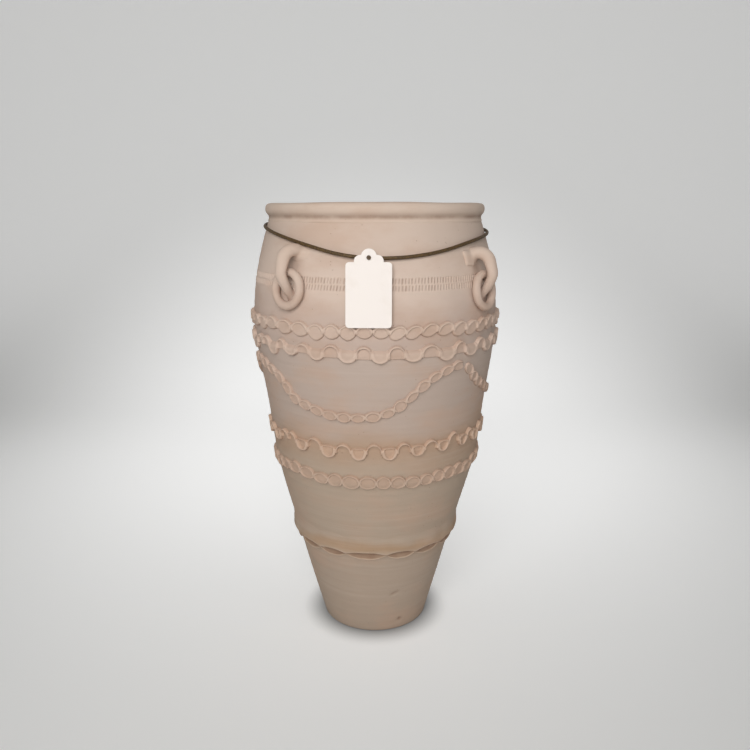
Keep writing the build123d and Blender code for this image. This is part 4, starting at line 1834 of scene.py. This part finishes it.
@dataclass
class NeckCord:
    """The cord round the neck, its knot at the back and the tie that carries the card."""

    diameter: float = 5.0
    length: float = 1.1
    knot_length: float = 15.0
    # the knot's strand: its mean reach and how far that varies, its stretch along the cord, its depth
    knot_reach: Pair = (3.1, 1.25)
    knot_stretch: float = 1.35
    knot_depth: float = 1.7
    knot_lift: float = 0.6
    knot_strand: float = 2.1
    knot_steps: int = 96
    tie_round: float = 0.5
    # bearing, distance from the axis, height
    route: tuple[Triple, ...] = (
        (167.5, 176.7, 669.0), (147.5, 174.0, 668.0), (127.5, 175.2, 665.5), (107.5, 176.6, 661.5),
        (87.5, 178.2, 657.5), (67.5, 180.0, 652.0), (47.5, 182.2, 644.5), (27.5, 185.5, 631.5),
        (7.5, 188.5, 625.0), (-12.5, 188.1, 628.0), (-32.5, 183.2, 643.0), (-52.5, 178.9, 655.0),
        (-72.5, 175.8, 663.5), (-92.5, 174.0, 668.0), (-112.5, 173.3, 670.0), (-132.5, 173.1, 670.5),
        (-152.5, 173.1, 670.5), (-172.5, 176.7, 670.0),
    )

    def points(self) -> list[Vector]:
        """The route's points in metres, from the knot round to the knot.

        Returns:
            The points in order.
        """
        points = [Vector(around(*spot)) * MM for spot in self.route]
        middle = (points[0] + points[-1]) / 2
        along = (points[0] - points[-1]).normalized() * self.knot_length / 2 * MM
        return [middle + along] + points + [middle - along]

    def build(self, finish: Finish) -> None:
        """Args:
            finish: Its material.
        """
        route = self.points()
        curve = bpy.data.curves.new("neck_cord_line", "CURVE")
        curve.dimensions = "3D"
        curve.bevel_depth = self.diameter / 2 * MM
        curve.bevel_resolution = 6
        curve.use_fill_caps = True
        curve.resolution_u = 12
        spline = curve.splines.new("NURBS")
        spline.points.add(len(route) - 1)
        for point, spot in zip(spline.points, route):
            point.co = (*spot, 1.0)
        spline.order_u = 3
        spline.use_endpoint_u = True
        cord = new_object("neck_cord_waxed", curve)
        place(cord, Body.JAR.value, finish, ["neck_cord"])
        knot = self.build_knot(route, finish)
        tie = self.build_tie(finish)

    def build_knot(self, route: list[Vector], finish: Finish) -> Piece:
        """Builds the overhand knot at the back, where the route's two ends meet.

        Args:
            route: The route's points in metres.
            finish: Its material.

        Returns:
            The knot.
        """
        middle = (route[0] + route[-1]) / 2
        along = (route[0] - route[-1]).normalized()
        outward = Vector((middle.x, middle.y, 0)).normalized()
        up = along.cross(outward)
        line = []
        for turn in np.linspace(0, 2 * pi, self.knot_steps + 1)[:-1]:
            reach = self.knot_reach[0] + self.knot_reach[1] * cos(3 * turn)
            spot = along * (reach * cos(2 * turn) * self.knot_stretch) + up * (reach * sin(2 * turn))
            spot = spot + outward * (self.knot_depth * sin(3 * turn))
            line.append(np.array(middle / MM) + np.array(spot) + np.array(outward) * self.knot_lift)
        radii = np.full((len(line), 2), self.knot_strand)
        points, faces = swept_tube(np.array(line), radii, np.array(outward), 16, closed=True)
        knot = mesh_object("cord_knot_pulled_tight", points * MM, faces)
        return place(knot, Body.JAR.value, finish, ["cord_knot"])

    def build_tie(self, finish: Finish) -> Piece:
        """Dresses the frame's own short tie round the cord, which holds the card.

        Args:
            finish: Its material.

        Returns:
            The tie.
        """
        low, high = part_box("tag_tie")
        middle = (Vector(low) + Vector(high)) / 2
        shape = bpy.data.objects["tag_tie"].data.copy()
        shape.name = "tag_tie_loop"
        tie = new_object("tag_tie_loop", shape)
        soften = tie.modifiers.new("soften", "BEVEL")
        soften.width = self.tie_round * MM
        soften.segments = 3
        log.info("tie sits at %s", tuple(round(value, 4) for value in middle))
        return place(tie, Body.CARD.value, finish, ["tag_tie"])


@dataclass
class HangingCard:
    """The plain card that hangs from the cord."""

    edge_round: float = 0.25
    edge_angle: float = 40.0

    def build(self, finish: Finish) -> None:
        """Dresses the frame's own card.

        Args:
            finish: Its material.
        """
        card = bpy.data.objects["tag"]
        card.data.materials.clear()
        card.data.materials.append(finish)
        soften = card.modifiers.new("soft edge", "BEVEL")
        soften.width = self.edge_round * MM
        soften.segments = 3
        soften.limit_method = "ANGLE"
        soften.angle_limit = radians(self.edge_angle)
        log.info("tag keeps the frame's own shape")


@dataclass
class Studio:
    """Pale backdrop, soft lamps and the camera, with lengths in metres."""

    lens: float = 33.6
    sensor: float = 36.0
    pitch: float = 13.26
    distance: float = 1.136
    height: float = 0.689
    backdrop: Color = (224, 224, 222)
    # the floor's half width, where it starts and starts to bend up, the bend's radius and the wall's top
    half_width: float = 4.0
    front: float = -3.0
    bend_start: float = 1.2
    bend_radius: float = 1.2
    bend_steps: int = 12
    wall_top: float = 5.0
    # the painted pool of light behind the jar, which glows for the camera: its middle, its strength, and how
    # far it reaches
    pool_middle: Triple = (0.0, 1.0, 0.0)
    pool_glow: float = 0.56
    pool_reach: Pair = (0.3, 1.8)
    # how far back the wall's own painted glow starts and is full, and that glow
    wall_reach: Pair = (0.9, 2.3)
    wall_glow: float = 0.27
    # distance from the jar's axis where the painted contact shadow is full, and where it ends
    painted_shadow_reach: Pair = (0.07, 0.135)
    # colour of the painted contact shadow round the foot
    shaded: Color = (120, 120, 119)
    air_light: float = 0.25
    lamp_aim: Triple = (0.0, 0.0, 0.4)
    # name, place, size, power
    lamps: tuple[tuple[str, Triple, float, float], ...] = (
        ("front_top", (-0.3, -2.0, 1.35), 1.3, 32.0),
        ("left_side", (-1.9, -0.6, 1.3), 1.2, 1.2),
        ("right_fill", (1.8, -1.0, 0.55), 1.4, 2.6),
    )

    def build(self) -> None:
        """Sets up the whole studio."""
        self.build_camera()
        self.build_backdrop()
        self.build_lamps()

    def build_camera(self) -> None:
        """The camera at the photograph's place."""
        camera = bpy.data.cameras.new("camera")
        camera.lens = self.lens
        camera.sensor_width = self.sensor
        camera.clip_start = 0.01
        seat = new_object("camera", camera)
        seat.location = (0.0, -self.distance, self.height)
        seat.rotation_euler = (radians(90 - self.pitch), 0, 0)
        bpy.context.scene.camera = seat

    def paint(self) -> Finish:
        """The backdrop's material, which glows for the camera as painted light in a pool behind the jar and
        up the wall, keeps the jar's shadow from the lamps, and darkens round the foot as a painted contact
        shadow.

        Returns:
            The material.
        """
        material, bench = new_material("pale_backdrop")
        rays = bench.add("ShaderNodeLightPath").outputs
        seen = bench.sum("MAXIMUM", rays["Is Camera Ray"], rays["Is Glossy Ray"])
        seen = bench.sum("MAXIMUM", seen, rays["Is Transmission Ray"])
        spot = bench.coordinates()
        away = bench.add("ShaderNodeVectorMath", {0: spot}, operation="LENGTH").outputs["Value"]
        # 0 inside the painted contact shadow round the foot, 1 on the open floor
        open_floor = bench.spread(away, *self.painted_shadow_reach)
        sources = {0: spot, 1: self.pool_middle}
        aside = bench.add("ShaderNodeVectorMath", sources, operation="DISTANCE").outputs["Value"]
        pool = bench.spread(aside, *self.pool_reach, self.pool_glow, 0.0)
        depth = bench.add("ShaderNodeSeparateXYZ", {"Vector": spot}).outputs["Y"]
        back = bench.spread(depth, *self.wall_reach, 0.0, self.wall_glow)
        # painted light: the glowing pool and wall, outside the painted contact shadow
        lit = bench.product(bench.sum("ADD", pool, back), open_floor)
        bench.feed(bench.shader, {
            "Roughness": 0.9,
            "Base Color": bench.mix(open_floor, from_screen(self.shaded), from_screen(self.backdrop)),
            "Emission Color": WHITE,
            "Emission Strength": bench.product(seen, lit),
        })
        return material

    def build_backdrop(self) -> None:
        """A floor that bends up into a wall, and the light of the air."""
        profile = [(self.front, 0.0), (self.bend_start, 0.0)]
        for step in range(1, self.bend_steps + 1):
            turn = pi / 2 * step / self.bend_steps
            forward = self.bend_start + self.bend_radius * sin(turn)
            profile.append((forward, self.bend_radius * (1 - cos(turn))))
        profile.append((self.bend_start + self.bend_radius, self.wall_top))
        points = [(side, y, z) for side in (-self.half_width, self.half_width) for y, z in profile]
        count = len(profile)
        faces = [(index, index + count, index + count + 1, index + 1) for index in range(count - 1)]
        sweep = mesh_object("floor_and_backdrop", np.array(points), faces)
        sweep.data.materials.append(self.paint())

        world = bpy.data.worlds.new("studio_air")
        bpy.context.scene.world = world
        world.use_nodes = True
        air = world.node_tree.nodes["Background"]
        air.inputs["Color"].default_value = WHITE
        air.inputs["Strength"].default_value = self.air_light

    def build_lamps(self) -> None:
        """A broad lamp over the camera, a side lamp and a low fill."""
        for name, spot, size, power in self.lamps:
            lamp = bpy.data.lights.new(name, "AREA")
            lamp.size = size
            lamp.energy = power
            seat = new_object(name, lamp)
            seat.location = spot
            aim = Vector(self.lamp_aim) - Vector(spot)
            seat.rotation_euler = aim.to_track_quat("-Z", "Y").to_euler()


WALL_CLAY = FiredClay(
    name="wall_clay",
    bands=(
        (0.0, (174, 155, 138)), (130.0, (175, 156, 139)), (168.0, (178, 153, 130)),
        (196.0, (176, 157, 139)), (290.0, (178, 159, 141)), (345.0, (177, 150, 128)),
        (400.0, (184, 165, 152)), (480.0, (186, 168, 156)), (540.0, (194, 173, 160)),
        (600.0, (210, 189, 174)), (690.0, (202, 182, 167)),
    ),
)
ROPE_CLAY = FiredClay(
    name="rope_clay",
    bands=(
        (0.0, (174, 154, 137)), (150.0, (177, 153, 131)), (166.0, (169, 141, 115)),
        (192.0, (174, 155, 137)), (250.0, (178, 157, 139)), (300.0, (192, 165, 145)),
        (345.0, (196, 166, 143)), (420.0, (194, 169, 152)), (500.0, (203, 179, 163)),
        (560.0, (207, 184, 168)),
    ),
    wear=0.6,
    streaks=0.05,
    pits=0.4,
)
HANDLE_CLAY = FiredClay(
    name="handle_clay",
    bands=(
        (0.0, (196, 174, 158)), (560.0, (198, 174, 158)), (620.0, (206, 184, 168)), (700.0, (206, 186, 170)),
    ),
    streaks=0.1,
    pits=0.5,
)


def main() -> None:
    """Builds the jar over the frame."""
    logging.basicConfig(level=logging.INFO, format="%(name)s: %(message)s")
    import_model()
    bpy.context.scene.view_settings.view_transform = "Standard"
    Studio().build()

    grain = clay_grain_group()
    worn = dust_and_painted_shade_group()
    wall_clay = WALL_CLAY.build(grain, worn)
    rope_clay = ROPE_CLAY.build(grain, worn)
    handle_clay = HANDLE_CLAY.build(grain, worn)
    cord = WaxedCord().build()

    NeckCord().build(cord)
    HangingCard().build(PlainCard().build())
    TurnedWall().build(wall_clay)
    RolledLip().build(handle_clay)
    RopeWork().build(rope_clay)
    JointBand().build(rope_clay)
    for corner in CORNERS:
        EarHandle(corner).build(handle_clay)
        LooseRing(corner).build(handle_clay)


if __name__ == "__main__":
    main()
